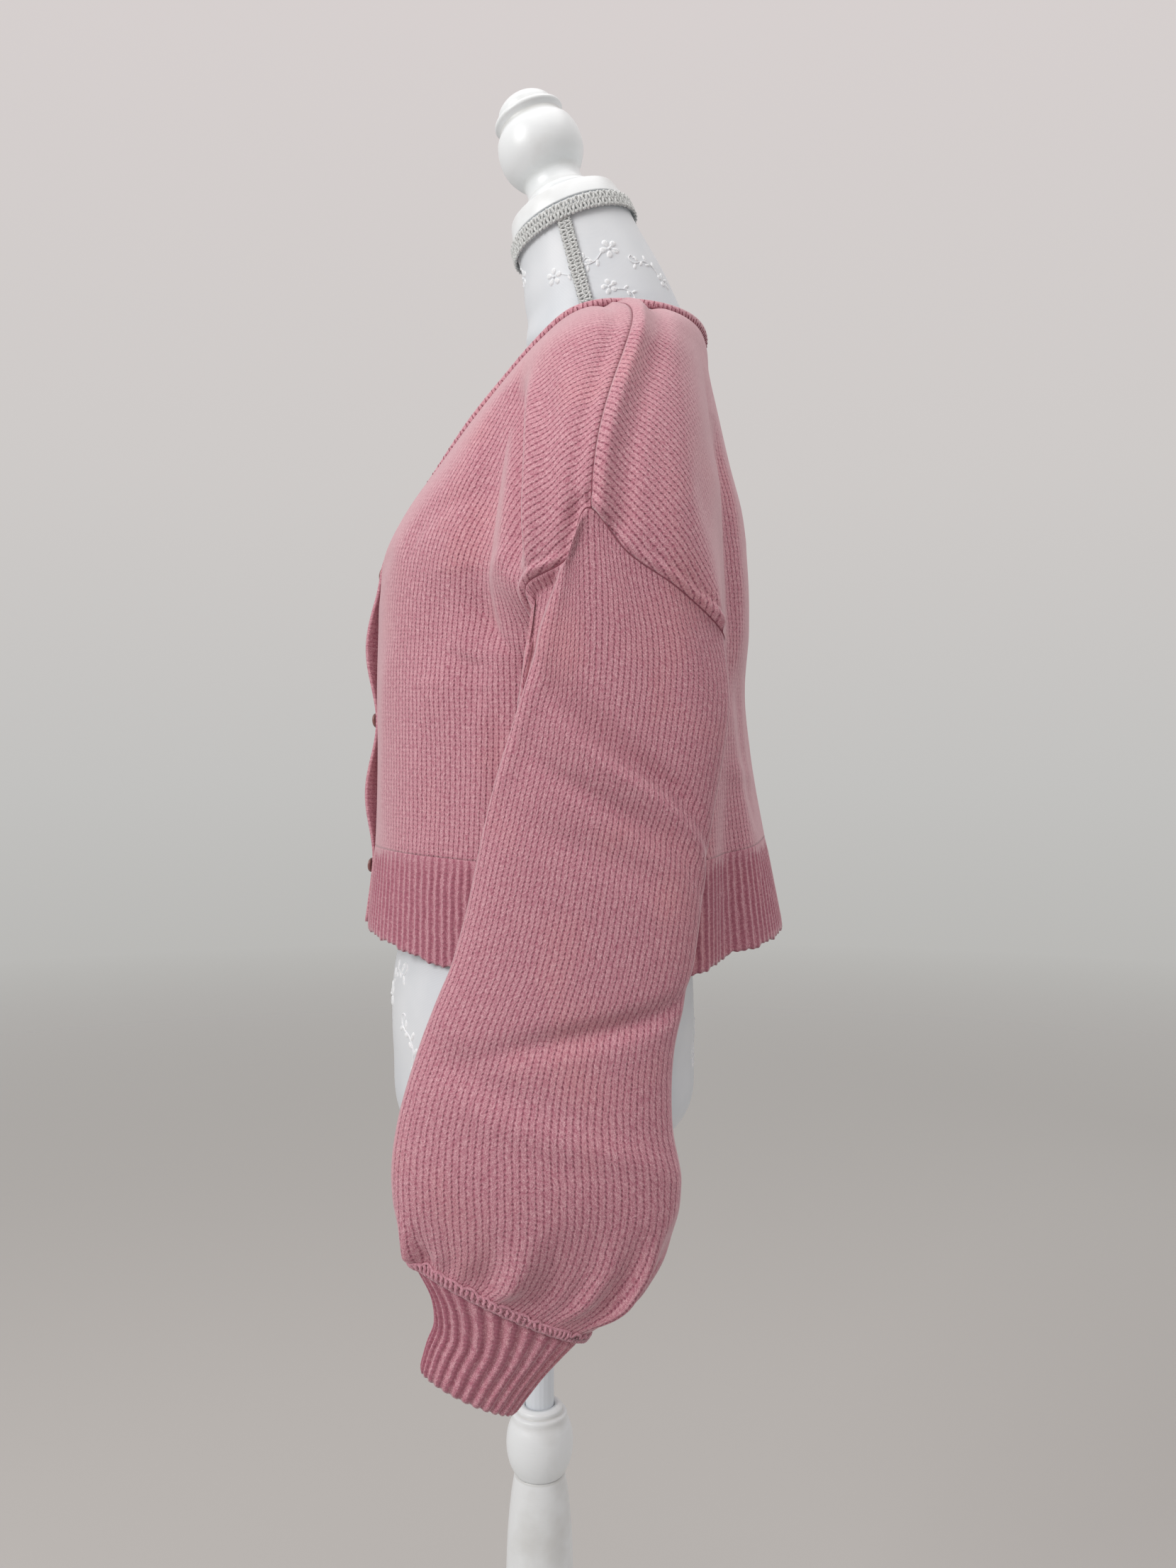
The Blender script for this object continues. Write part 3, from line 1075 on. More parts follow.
def even_turns(start, end, height, pitch, per_rib):
    samples = np.linspace(start, end, 800)
    line = body_points(samples, np.full(800, height))
    lengths = np.concatenate(([0.0], np.cumsum(np.linalg.norm(np.diff(line, axis=0), axis=1))))
    ribs = round(lengths[-1] / pitch)
    return np.interp(np.linspace(0.0, lengths[-1], ribs * per_rib + 1), lengths, samples), ribs, lengths[-1]


def hem_half(turns, ribs):
    heights = np.linspace(HEM_HEIGHT, RIB_HEIGHT, HEM_ROWS + 1)[:, None]
    points = body_points(turns[None, :], heights)
    outward = body_normals(turns[None, :], np.repeat(heights, len(turns), axis=1))
    phase = np.linspace(0.0, ribs, len(turns))[None, :]
    top = soft_step((RIB_HEIGHT - heights - 0.002 * np.sin(phase * 1.7)) / 0.013)
    edge = soft_step((heights - HEM_HEIGHT + 0.001) / 0.009)
    relief = rib_profile(phase, HEM_CREST, HEM_GROOVE) * top * (0.30 + 0.70 * edge)
    points = points + outward * relief[..., None]
    uneven = 0.0004 * np.cos(2.0 * np.pi * phase) + 0.0008 * np.sin(1.3 * phase) + 0.0006 * np.sin(2.9 * phase + 1.0)
    points[..., 2] -= uneven * bump(heights - HEM_HEIGHT, 0.006)
    flat = np.stack(np.broadcast_arrays(phase + 0.5, heights - HEM_HEIGHT), axis=-1)
    return points, outward, flat


# %% Make the hems
middle = 0.5 * (HEM_HEIGHT + RIB_HEIGHT)
turns, ribs, length = even_turns(float(front_edge_turn(RIB_HEIGHT)), UNDERARM_TURN, middle, RIB_PITCH, RIB_COLUMNS)
points, outward, flat = hem_half(turns, ribs)
for side, mirror, name in ((1, LEFT, "left"), (-1, RIGHT, "right")):
    piece = wall("front_%s_hem_rib" % name, points * mirror, outward * mirror, flat, rib_wool, flip=side < 0)
    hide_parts("front_%s_hem" % name)
print("front hem: %d ribs, %.3f m wide" % (ribs, length))
turns, ribs, length = even_turns(90.0, UNDERARM_TURN, middle, RIB_PITCH, RIB_COLUMNS)
points, outward, flat = hem_half(turns, ribs)
points = np.concatenate((points[:, ::-1] * RIGHT, points[:, 1:]), axis=1)
outward = np.concatenate((outward[:, ::-1] * RIGHT, outward[:, 1:]), axis=1)
flat = np.concatenate((flat[:, ::-1] * (-1.0, 1.0), flat[:, 1:]), axis=1)
piece = wall("back_hem_rib", points, outward, flat, rib_wool, flip=True)
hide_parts("back_hem")
print("back hem: %d ribs, %.3f m wide" % (2 * ribs, 2.0 * length))

# %% Make the cuffs
CUFF = Table("share front_y front_z back_y back_z middle_x half_thick",
             (0.00, -0.0758, 0.6910, 0.0338, 0.6390, 0.1950, 0.0185),
             (0.30, -0.0640, 0.6680, 0.0205, 0.6260, 0.1950, 0.0170),
             (0.52, -0.0618, 0.6510, 0.0110, 0.6160, 0.1950, 0.0160),
             (0.76, -0.0668, 0.6370, 0.0015, 0.6040, 0.1950, 0.0155),
             (1.00, -0.0722, 0.6185, -0.0095, 0.5890, 0.1950, 0.0150))
CUFF_RIBS, CUFF_COLUMNS, CUFF_ROWS = 28, 12, 42
CUFF_CREST, CUFF_GROOVE = 0.0012, 0.0014
CUFF_FLAT = (0.190, 0.073)
columns = CUFF_RIBS * CUFF_COLUMNS
cuff_share = np.linspace(-0.03, 1.0, CUFF_ROWS + 1)[:, None]
cuff_deg = (np.arange(columns) * 360.0 / columns)[None, :]
cuff_base = tube_points(CUFF, cuff_share, cuff_deg)
cuff_out = -grid_normals(cuff_base, closed=True)
phase = np.arange(columns + 1)[None, :] / CUFF_COLUMNS
swell = 0.75 + 0.25 * np.sin(np.pi * cuff_share) + 0.12 * np.sin(cuff_deg / 57.3 * 3.0 + 1.0)
cuff_start = soft_step((cuff_share + 0.03) / 0.09)
cuff_relief = rib_profile(phase[:, :-1], CUFF_CREST, CUFF_GROOVE) * swell * cuff_start - 0.0016 * (1.0 - cuff_start)
cuff_relief = cuff_relief - 0.0012 * bump(cuff_share - 1.0, 0.03)
cuff_flat = np.stack(np.broadcast_arrays(phase + 0.5, -CUFF_FLAT[1] * cuff_share), axis=-1)
for side, mirror, name in ((1, LEFT, "left"), (-1, RIGHT, "right")):
    points = (cuff_base + cuff_out * cuff_relief[..., None]) * mirror
    piece = wall("cuff_%s_rib" % name, points, cuff_out * mirror, cuff_flat, rib_wool, closed=True, flip=side > 0)
    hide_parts("cuff_" + name)
    print(piece.name, TRIANGLES[piece.name], "triangles")

# %% [markdown]
# ## Front and neck bands
# The band is picked up along the edge and knitted outwards, so it is narrow, a little puffed,
# and has a line of deep stitches where it begins. The right one laps over the left, and bulges
# a little between its buttons.

# %% Band surface
BUTTON_HEIGHTS = (1.183, 1.063, 0.943)
OUTER_LAP, INNER_LAP, BAND_GAPE, FLARE_GAPE, LAP_FADE = 0.0027, 0.0038, 0.0090, 0.0040, 0.045
BAND_COLUMNS, BAND_STEPS = 9, 540
BAND_PUFF, NECK_PUFF = 0.0009, 0.0036


def band_stations():
    up = np.linspace(0.0, 1.0, 400)
    front = front_inner_edge(up)
    along = np.linspace(1.0, 0.0, 60)[1:]
    neck = back_top(NECK_SHARE * along)
    turn = np.concatenate(([front_edge_turn(HEM_HEIGHT)], front[:, 0], neck[:, 0]))
    height = np.concatenate(([HEM_HEIGHT], height_at(front[:, 1]), height_at(neck[:, 1])))
    line = body_points(turn, height)
    lengths = np.concatenate(([0.0], np.cumsum(np.linalg.norm(np.diff(line, axis=0), axis=1))))
    even = np.linspace(0.0, lengths[-1], BAND_STEPS + 1)
    return np.interp(even, lengths, turn), np.interp(even, lengths, height), lengths[-1]


def gape(height):
    top, bottom = BUTTON_HEIGHTS[0], BUTTON_HEIGHTS[-1]
    spacing = BUTTON_HEIGHTS[0] - BUTTON_HEIGHTS[1]
    between = BAND_GAPE * np.sin(np.pi * (top - height) / spacing) ** 2
    below = FLARE_GAPE * soft_step((bottom - height) / spacing)
    return np.where(height > top, 0.0, np.where(height < bottom, below, between))


def band_grid(outer_band):
    turn, height, length = band_stations()
    edge = body_points(turn, height)
    outward = body_normals(turn, height)
    outward[-1] = unit(outward[-1] * (0.0, 1.0, 1.0))
    along = unit(np.gradient(edge, axis=0))
    across = unit(np.cross(outward, along))
    share = np.linspace(0.0, 1.0, BAND_COLUMNS + 1)[None, :, None]
    depth = OUTER_LAP if outer_band else -INNER_LAP
    shift = depth * (1.0 - soft_step((height - V_HEIGHT) / LAP_FADE))
    if outer_band:
        shift = shift + np.where(turn < -80.0, gape(height + BODY("front_lift", height)), 0.0)
    upper = soft_step((height - V_HEIGHT) / 0.12)[:, None, None]
    puff = (BAND_PUFF + (NECK_PUFF - BAND_PUFF) * upper) * np.sin(np.pi * share ** 0.7)
    grid = edge[:, None] + across[:, None] * (BAND_WIDTH * share + 0.0003)
    grid = grid + outward[:, None] * (shift[:, None, None] * share + puff)
    run = np.linspace(0.0, length, BAND_STEPS + 1)[:, None]
    flat = np.stack(np.broadcast_arrays(run, share[..., 0] * BAND_WIDTH), axis=-1)
    return grid, np.repeat(outward[:, None], BAND_COLUMNS + 1, axis=1), flat, length


# %% Make the bands
PICK_UP_STEP = 3
for side, mirror, name in ((1, LEFT, "left"), (-1, RIGHT, "right")):
    points, outward, flat, length = band_grid(side < 0)
    piece = wall("front_band_%s_knit" % name, points * mirror, outward * mirror, flat, band_wool, flip=side > 0)
    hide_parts("front_band_" + name)
    ends = []
    for k in range(4, BAND_STEPS, PICK_UP_STEP):
        ends.append((points[k, 0] * mirror, points[k + k % 2, 1 + k % 2] * mirror, outward[k, 0] * mirror))
    stitch_row("pick_up_" + name, ends, 0.00045, deep_yarn, 0.0004)
    print(piece.name, "%.3f m long," % length, len(ends), "pick-up stitches")

# %% [markdown]
# ## The covered form
# The torso is a smooth loft: ovals up to the chest, the cloth's own form under the shoulders,
# and tilted rings at the neck. Ring tables are read with the same cubic as the cloth, so that
# 128 sides and many rows give a satin-smooth skin.

# %% Form surface
FORM = Table("height centre_y half_width front_y back_y",
             (0.740, 0.006, 0.146, -0.104, 0.113), (0.750, 0.006, 0.153, -0.111, 0.121),
             (0.800, 0.005, 0.157, -0.1175, 0.1262), (0.865, 0.006, 0.149, -0.117, 0.1250),
             (0.930, 0.012, 0.131, -0.100, 0.118), (0.985, 0.018, 0.119, -0.081, 0.116),
             (1.050, 0.022, 0.126, -0.092, 0.130), (1.130, 0.026, 0.130, -0.117, 0.146),
             (1.190, 0.034, 0.134, -0.103, 0.150), (1.225, 0.044, 0.138, -0.084, 0.149))
UNDER_CLOTH = Table("height slack", (1.26, 0.0090), (1.30, 0.0065), (1.33, 0.0090), (1.353, 0.0074))
NECK = Table("height centre_y half_width half_depth tilt_deg",
             (1.3770, 0.0580, 0.0590, 0.0690, 2.0), (1.3970, 0.0530, 0.0560, 0.0630, 6.0),
             (1.4180, 0.0455, 0.0535, 0.0590, 12.0), (1.4524, 0.0327, 0.0500, 0.0510, 21.0),
             (1.4725, 0.02495, 0.0492, 0.0492, 21.0))
FORM_SIDES, FORM_ROWS = 128, 7
BORE_RADIUS, BORE_DEPTH = 0.0128, 0.060
form_turns = np.arange(FORM_SIDES) * 360.0 / FORM_SIDES


def form_rings():
    angle = np.radians(form_turns)
    cosine, sine = np.cos(angle), np.sin(angle)
    rings = []
    for row in FORM.each():
        depth = np.where(sine > 0.0, row["back_y"] - row["centre_y"], row["centre_y"] - row["front_y"])
        reach = ((np.abs(cosine) / row["half_width"]) ** OVAL_POWER
                 + (np.abs(sine) / depth) ** OVAL_POWER) ** (-1.0 / OVAL_POWER)
        rings.append(np.stack((reach * cosine, row["centre_y"] + reach * sine,
                               np.full(FORM_SIDES, row["height"])), axis=-1))
    folded = np.degrees(np.arcsin(sine))
    mirror = np.where(cosine >= 0.0, 1.0, -1.0)[:, None] * (1.0, 0.0, 0.0) + (0.0, 1.0, 1.0)
    for row in UNDER_CLOTH.each():
        height = np.full(FORM_SIDES, row["height"])
        inward = body_normals(folded, height, 0.0) * (CLOTH + row["slack"])
        rings.append((body_points(folded, height, 0.0) - inward) * mirror)
    for row in NECK.each():
        tilt = math.radians(row["tilt_deg"])
        across = row["half_depth"] * sine
        rings.append(np.stack((row["half_width"] * cosine, row["centre_y"] + across * math.cos(tilt),
                               row["height"] + across * math.sin(tilt)), axis=-1))
    return np.array(rings)


rings = form_rings()
steps = np.linalg.norm(np.diff(rings, axis=0), axis=-1).mean(axis=1)
ring_at = np.concatenate(([0.0], np.cumsum(steps)))
fine_at = np.concatenate([np.linspace(a, b, FORM_ROWS, endpoint=False)
                          for a, b in zip(ring_at, ring_at[1:])] + [ring_at[-1:]])
form_grid = np.array([[smooth_read(ring_at, rings[:, j, k], fine_at) for k in range(3)] for j in range(FORM_SIDES)])
form_grid = form_grid.transpose(2, 0, 1)
print("form grid", form_grid.shape)

# %% [markdown]
# ## Satin, braid, paint and horn
# The form's cover is a pale blue-white satin with a fine weave. The wood is painted with a
# white satin paint that has gathered a little dust in its coves and worn at its edges.

# %% Other finishes
def satin_finish():
    finish = Finish("blue-white satin", Roughness=0.42, Sheen_Weight=0.25, Sheen_Roughness=0.4,
                    Specular_IOR_Level=0.5)
    place = finish.place(False)
    split = finish.add("ShaderNodeSeparateXYZ", Vector=place).node
    weave = finish.maths("SINE", finish.maths("MULTIPLY", split.outputs[2], 9000.0))
    cloud = finish.noise(place, 14.0, 3.0)
    colour = finish.mix(finish.ramp(cloud, (0.35, 0.0), (0.7, 1.0)), srgb(203, 209, 215), srgb(216, 220, 224))
    body = finish.relief(cloud, 0.0010, 0.35)
    return finish.done(colour, finish.relief(weave, 0.00004, 0.5, body))


def paint_finish(name, colour, worn, roughness):
    finish = Finish(name, Roughness=roughness, Coat_Weight=0.15, Coat_Roughness=0.25, Specular_IOR_Level=0.5)
    place = finish.place(False)
    brush = finish.noise(finish.add("ShaderNodeMapping", Vector=place, Scale=(60.0, 60.0, 900.0)), 1.0, 3.0)
    dust = finish.ramp(finish.noise(place, 22.0, 4.0), (0.52, 0.0), (0.78, 0.55))
    edges = finish.ramp(finish.add("ShaderNodeNewGeometry", output="Pointiness"), (0.47, 0.55), (0.50, 0.0))
    shade = finish.mix(dust, colour, worn)
    shade = finish.mix(edges, shade, worn)
    return finish.done(shade, finish.relief(brush, 0.0002, 0.35))


def horn_finish():
    finish = Finish("smoky horn", Roughness=0.28, Coat_Weight=0.3, Coat_Roughness=0.12)
    place = finish.place(False)
    streak = finish.noise(finish.add("ShaderNodeMapping", Vector=place, Scale=(300.0, 90.0, 90.0)), 1.0, 3.0)
    return finish.done(finish.ramp(streak, (0.35, srgb(70, 46, 44)), (0.65, srgb(140, 100, 96))))


satin = satin_finish()
embroidery_thread = thread_finish("embroidery thread", srgb(244, 245, 246), srgb(214, 220, 226), 0.5)
gimp_thread = thread_finish("ivory gimp thread", srgb(226, 229, 228), srgb(160, 163, 162), 0.5)
white_paint = paint_finish("white satin paint", srgb(228, 232, 234), srgb(192, 192, 188), 0.34)
tube_paint = paint_finish("painted steel tube", srgb(214, 220, 226), srgb(178, 184, 190), 0.4)
horn = horn_finish()
sewing_thread = thread_finish("rose sewing thread", srgb(200, 130, 145), srgb(150, 80, 96), 0.7)

# %% Make the form
count = FORM_SIDES
bore = [np.stack((BORE_RADIUS * np.cos(np.radians(form_turns)), BORE_RADIUS * np.sin(np.radians(form_turns)),
                  np.full(count, height)), axis=-1) for height in (0.740 + BORE_DEPTH, 0.740)]
rings = np.concatenate((np.array(bore), form_grid))
i, j = quad_corners(len(rings), count)
faces = (i * count + j % count).tolist()
faces.append(list(range(count))[::-1])
faces.append([(len(rings) - 1) * count + k for k in range(count)])
torso = mesh_object("form_cover", rings.reshape(-1, 3), faces, "form", satin)
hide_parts("form_torso")
i, j = quad_corners(len(form_grid), count)
form_tree = BVHTree.FromPolygons([Vector(p) for p in form_grid.reshape(-1, 3)], (i * count + j % count).tolist())
print("form cover:", TRIANGLES["form_cover"], "triangles")

# %% [markdown]
# ## Turned wood
# Cap, finial, collar, column and base were turned on a lathe. A profile line and Blender's
# Screw modifier do the same. The CAD solids have few sides; these have enough to look round.

# %% Turned pieces
LATHE_STEPS = 96
CAP_FOOT, NECK_TILT_DEG = Vector((0.0, 0.0248, 1.4729)), 21.0
CAP_PROFILE = ((0.0320, 0.0154), (0.0440, 0.0151), (0.0458, 0.0146), (0.0464, 0.0135), (0.0495, 0.0016),
               (0.0496, 0.0006), (0.0490, 0.0004))
FINIAL_PROFILE = ((0.0080, 0.1142), (0.0170, 0.1105), (0.0230, 0.1045), (0.0250, 0.0985), (0.0282, 0.0978),
                  (0.0296, 0.0950), (0.0280, 0.0920), (0.0272, 0.0905), (0.0325, 0.0812), (0.0354, 0.0669),
                  (0.0338, 0.0560), (0.0290, 0.0470), (0.0243, 0.0405), (0.0240, 0.0337), (0.0262, 0.0280),
                  (0.0296, 0.0253), (0.0302, 0.0190), (0.0300, 0.0157))
COLLAR_PROFILE = ((0.0165, 0.4965), (0.0188, 0.4945), (0.0190, 0.4915), (0.0222, 0.4900), (0.0228, 0.4860),
                  (0.0258, 0.4790), (0.0277, 0.4670), (0.0268, 0.4560), (0.0240, 0.4470), (0.0205, 0.4405))
COLUMN_PROFILE = ((0.0208, 0.4402), (0.0218, 0.4350), (0.0257, 0.4040), (0.0278, 0.3600), (0.0286, 0.3150),
                  (0.0270, 0.2500), (0.0235, 0.1700), (0.0225, 0.1150), (0.0265, 0.0720), (0.0400, 0.0450),
                  (0.0460, 0.0363))
BASE_PROFILE = ((0.0600, 0.0360), (0.1350, 0.0300), (0.1480, 0.0260), (0.1520, 0.0180), (0.1520, 0.0060),
                (0.1480, 0.0000))
COLLAR_BORE = 0.0124


def rounded_profile(profile, per_span=5):
    """More points along a profile, on a cubic through the turner's own points."""
    points = np.array(profile)
    at = np.concatenate(([0.0], np.cumsum(np.linalg.norm(np.diff(points, axis=0), axis=1))))
    fine = np.concatenate([np.linspace(a, b, per_span, endpoint=False) for a, b in zip(at, at[1:])] + [at[-1:]])
    return np.stack([smooth_read(at, points[:, k], fine) for k in (0, 1)], axis=-1).tolist()


def turned(name, profile, finish, node, body, top, bottom, bore=0.0, tilted=False, smooth=True):
    line = rounded_profile(profile) if smooth else list(profile)
    line = [(bore, top)] + line + [(bore, bottom)]
    mesh = bmesh.new()
    verts = [mesh.verts.new((radius, 0.0, height)) for radius, height in line]
    for first, second in zip(verts, verts[1:]):
        mesh.edges.new((first, second))
    if bore > 0.0:
        mesh.edges.new((verts[-1], verts[0]))
    data = bpy.data.meshes.new(name)
    mesh.to_mesh(data)
    mesh.free()
    data.materials.append(finish)
    item = bpy.data.objects.new(name, data)
    scene.collection.objects.link(item)
    screw = item.modifiers.new("lathe", "SCREW")
    screw.steps = screw.render_steps = LATHE_STEPS
    screw.use_merge_vertices = True
    screw.merge_threshold = 0.00001
    screw.use_smooth_shade = True
    screw.use_normal_calculate = True
    if tilted:
        item.matrix_world = Matrix.Translation(CAP_FOOT) @ Matrix.Rotation(math.radians(NECK_TILT_DEG), 4, "X")
    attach(item, body)
    if node:
        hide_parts(node)
    TRIANGLES[name] = 2 * LATHE_STEPS * len(line)
    return item


turned("turned_cap", CAP_PROFILE, white_paint, "neck_cap", "form", 0.0154, 0.0004, tilted=True, smooth=False)
turned("turned_finial", FINIAL_PROFILE, white_paint, "finial", "form", 0.1150, 0.0157, tilted=True)
turned("turned_collar", COLLAR_PROFILE, white_paint, "ball_collar", "stand", 0.4965, 0.4405, COLLAR_BORE)
turned("turned_column", [(COLLAR_BORE, 0.0702), (COLLAR_BORE, 0.4402)] + rounded_profile(COLUMN_PROFILE),
       white_paint, "column", "stand", 0.0702, 0.0363, smooth=False)
turned("turned_base", BASE_PROFILE, white_paint, "base", "stand", 0.0360, 0.0)
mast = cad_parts["mast"]
mast.data.materials.clear()
mast.data.materials.append(tube_paint)
print("turned pieces:", [name for name in TRIANGLES if name.startswith("turned")])

# %% [markdown]
# ## Embroidery on the satin
# The cover carries raised flowers, leaves and tendrils in white thread. Each motif is laid out
# flat round its middle, then every point is dropped on the form and lifted a little, so that
# it follows the neck and the hips. Ordinary five-petal flowers serve here, none traced.

# %% Embroidery tools
class Sewn:
    """Points and faces of many small raised pads and cords, joined in one mesh."""

    def __init__(self):
        self.points, self.faces = [], []

    def patch_on_form(self, centre, spin_deg, size, local, faces, heights):
        spot, normal, _, _ = form_tree.find_nearest(Vector(centre))
        up = Vector((0.0, 0.0, 1.0))
        side = up.cross(normal).normalized()
        up = normal.cross(side)
        spin = math.radians(spin_deg)
        start = len(self.points)
        for (a, b), height in zip(local, heights):
            x = size * (a * math.cos(spin) - b * math.sin(spin))
            y = size * (a * math.sin(spin) + b * math.cos(spin))
            near, out, _, _ = form_tree.find_nearest(spot + side * x + up * y)
            self.points.append(near + out * height)
        self.faces += [[start + k for k in face] for face in faces]


def pad(outline, rings=4, rise=0.0009, ridges=0, sunk=-0.0002):
    """A raised lens over an outline: local points, faces and heights."""
    count = len(outline)
    middle = np.mean(outline, axis=0)
    points, heights, faces = [tuple(middle)], [rise], []
    for ring in range(1, rings + 1):
        share = ring / rings
        for k, corner in enumerate(outline):
            points.append(tuple(middle + (np.array(corner) - middle) * share))
            edge = rise * math.sqrt(max(0.0, 1.0 - share ** 2.6))
            heights.append(edge * (1.0 + 0.25 * math.cos(ridges * 2.0 * math.pi * k / count)) if ring < rings else sunk)
    for k in range(count):
        after = (k + 1) % count
        faces.append([0, 1 + k, 1 + after])
        for ring in range(rings - 1):
            a, b = 1 + ring * count, 1 + (ring + 1) * count
            faces.append([a + k, b + k, b + after, a + after])
    return points, faces, heights


def petal_outline(angle_deg, inner=0.16, outer=1.0, width=0.40):
    angle = math.radians(angle_deg)
    ahead, aside = np.array((math.cos(angle), math.sin(angle))), np.array((-math.sin(angle), math.cos(angle)))
    outline = []
    for k in range(14):
        t = 2.0 * math.pi * k / 14
        along = 0.5 * (inner + outer) - 0.5 * (outer - inner) * math.cos(t)
        wide = width * math.sin(t) * (0.55 + 0.45 * (along - inner) / (outer - inner))
        outline.append(ahead * along + aside * wide)
    return outline


def leaf_outline(base, angle_deg, length=0.9, width=0.22):
    angle = math.radians(angle_deg)
    ahead, aside = np.array((math.cos(angle), math.sin(angle))), np.array((-math.sin(angle), math.cos(angle)))
    outline = []
    for k in range(12):
        t = 2.0 * math.pi * k / 12
        along = 0.5 * length * (1.0 - math.cos(t))
        outline.append(np.array(base) + ahead * along + aside * width * math.sin(t))
    return outline


def stem(points, width=0.07, steps=22):
    """A flat cord along a bent line, as local points, faces and heights."""
    line = np.array(points, float)
    at = np.concatenate(([0.0], np.cumsum(np.linalg.norm(np.diff(line, axis=0), axis=1))))
    fine = np.linspace(0.0, at[-1], steps)
    path = np.stack([smooth_read(at, line[:, k], fine) for k in (0, 1)], axis=-1)
    ahead = unit(np.gradient(path, axis=0))
    aside = np.stack((-ahead[:, 1], ahead[:, 0]), axis=-1)
    local, heights, faces = [], [], []
    for k in range(steps):
        for share, height in ((-1.0, -0.0002), (-0.6, 0.0006), (0.6, 0.0006), (1.0, -0.0002)):
            local.append(tuple(path[k] + aside[k] * width * share))
            heights.append(height)
    for k in range(steps - 1):
        for m in range(3):
            a = 4 * k + m
            faces.append([a, a + 1, a + 5, a + 4])
    return local, faces, heights


def flower(sewn, centre, spin, size, petals=5):
    for k in range(petals):
        sewn.patch_on_form(centre, spin, size, *pad(petal_outline(360.0 * k / petals), ridges=7))
    knot = [(0.17 * math.cos(t), 0.17 * math.sin(t)) for t in np.linspace(0.0, 2.0 * math.pi, 10, endpoint=False)]
    sewn.patch_on_form(centre, spin, size, *pad(knot, 3, 0.0014))


def spray(sewn, centre, spin, size, flip=1.0):
    """A flower, a bent stem with paired leaves, and a curl at its end."""
    flower(sewn, centre, spin, size)
    line = [(0.9, 0.2 * flip), (1.8, 0.75 * flip), (2.8, 0.7 * flip), (3.6, 0.1 * flip), (4.3, -0.2 * flip),
            (4.8, 0.2 * flip), (4.5, 0.6 * flip), (4.2, 0.35 * flip)]
    sewn.patch_on_form(centre, spin, size, *stem(line, 0.06, 34))
    for (x, y), angle in (((1.5, 0.6), 75), ((1.9, 0.75), -30), ((2.5, 0.78), 60), ((3.0, 0.6), -65),
                          ((3.5, 0.2), 35), ((3.9, -0.1), -80)):
        leaf = leaf_outline((x, y * flip), angle * flip, 0.85, 0.20)
        sewn.patch_on_form(centre, spin, size, *pad(leaf, 3, 0.0008, ridges=5))


# %% Sew the motifs
SPRAYS = Table("turn_deg height spin_deg size flip",
               (18.0, 1.432, 200.0, 0.0085, 1.0), (-38.0, 1.412, 20.0, 0.0075, -1.0), (62.0, 1.415, 160.0, 0.0080, -1.0),
               (-80.0, 1.425, 95.0, 0.0080, 1.0), (115.0, 1.432, 30.0, 0.0078, 1.0), (160.0, 1.412, 190.0, 0.0080, -1.0),
               (-150.0, 1.430, -20.0, 0.0076, 1.0), (-112.0, 1.405, 60.0, 0.0072, -1.0), (5.0, 1.400, 330.0, 0.0070, 1.0),
               (-68.0, 0.845, 30.0, 0.0110, 1.0), (-40.0, 0.792, 120.0, 0.0105, -1.0), (-18.0, 0.850, 250.0, 0.0100, 1.0),
               (-85.0, 0.790, 190.0, 0.0105, 1.0), (12.0, 0.800, 60.0, 0.0105, -1.0), (42.0, 0.850, 200.0, 0.0100, 1.0),
               (70.0, 0.795, 20.0, 0.0110, 1.0), (100.0, 0.850, 140.0, 0.0105, -1.0), (128.0, 0.795, 300.0, 0.0100, 1.0),
               (155.0, 0.850, 80.0, 0.0105, 1.0), (-175.0, 0.792, 10.0, 0.0105, -1.0), (-148.0, 0.850, 220.0, 0.0100, 1.0),
               (-120.0, 0.795, 130.0, 0.0110, -1.0), (-100.0, 0.850, 330.0, 0.0095, 1.0),
               (-90.0, 1.290, 60.0, 0.0090, 1.0), (-60.0, 1.345, 200.0, 0.0085, -1.0), (-120.0, 1.345, -20.0, 0.0085, 1.0),
               (-90.0, 1.240, 240.0, 0.0085, -1.0))
sewn = Sewn()
for row in SPRAYS.each():
    angle = math.radians(row["turn_deg"])
    level = row["height"]
    middle_y = float(NECK("centre_y", level)) if level > 1.37 else float(FORM("centre_y", min(level, 1.225)))
    reach = 0.2
    centre = (reach * math.cos(angle), middle_y + reach * math.sin(angle), level)
    inside = Vector((0.0, middle_y, level))
    hit, _, _, _ = form_tree.ray_cast(Vector(centre), (inside - Vector(centre)).normalized())
    spray(sewn, hit if hit else centre, row["spin_deg"], row["size"], row["flip"])
embroidery = mesh_object("form_embroidery", [tuple(p) for p in sewn.points], sewn.faces, "form", embroidery_thread)
print("embroidery:", len(SPRAYS.rows), "sprays,", TRIANGLES["form_embroidery"], "triangles")

# %% [markdown]
# ## Gimp braid
# Gimp is a narrow trim of cords that loop from side to side. Two cords that swing against each
# other, with a cord along each edge, make its plait. The neck's ring lies under the cap and
# hides the cover's raw edge; a straight length runs down the side of the neck.

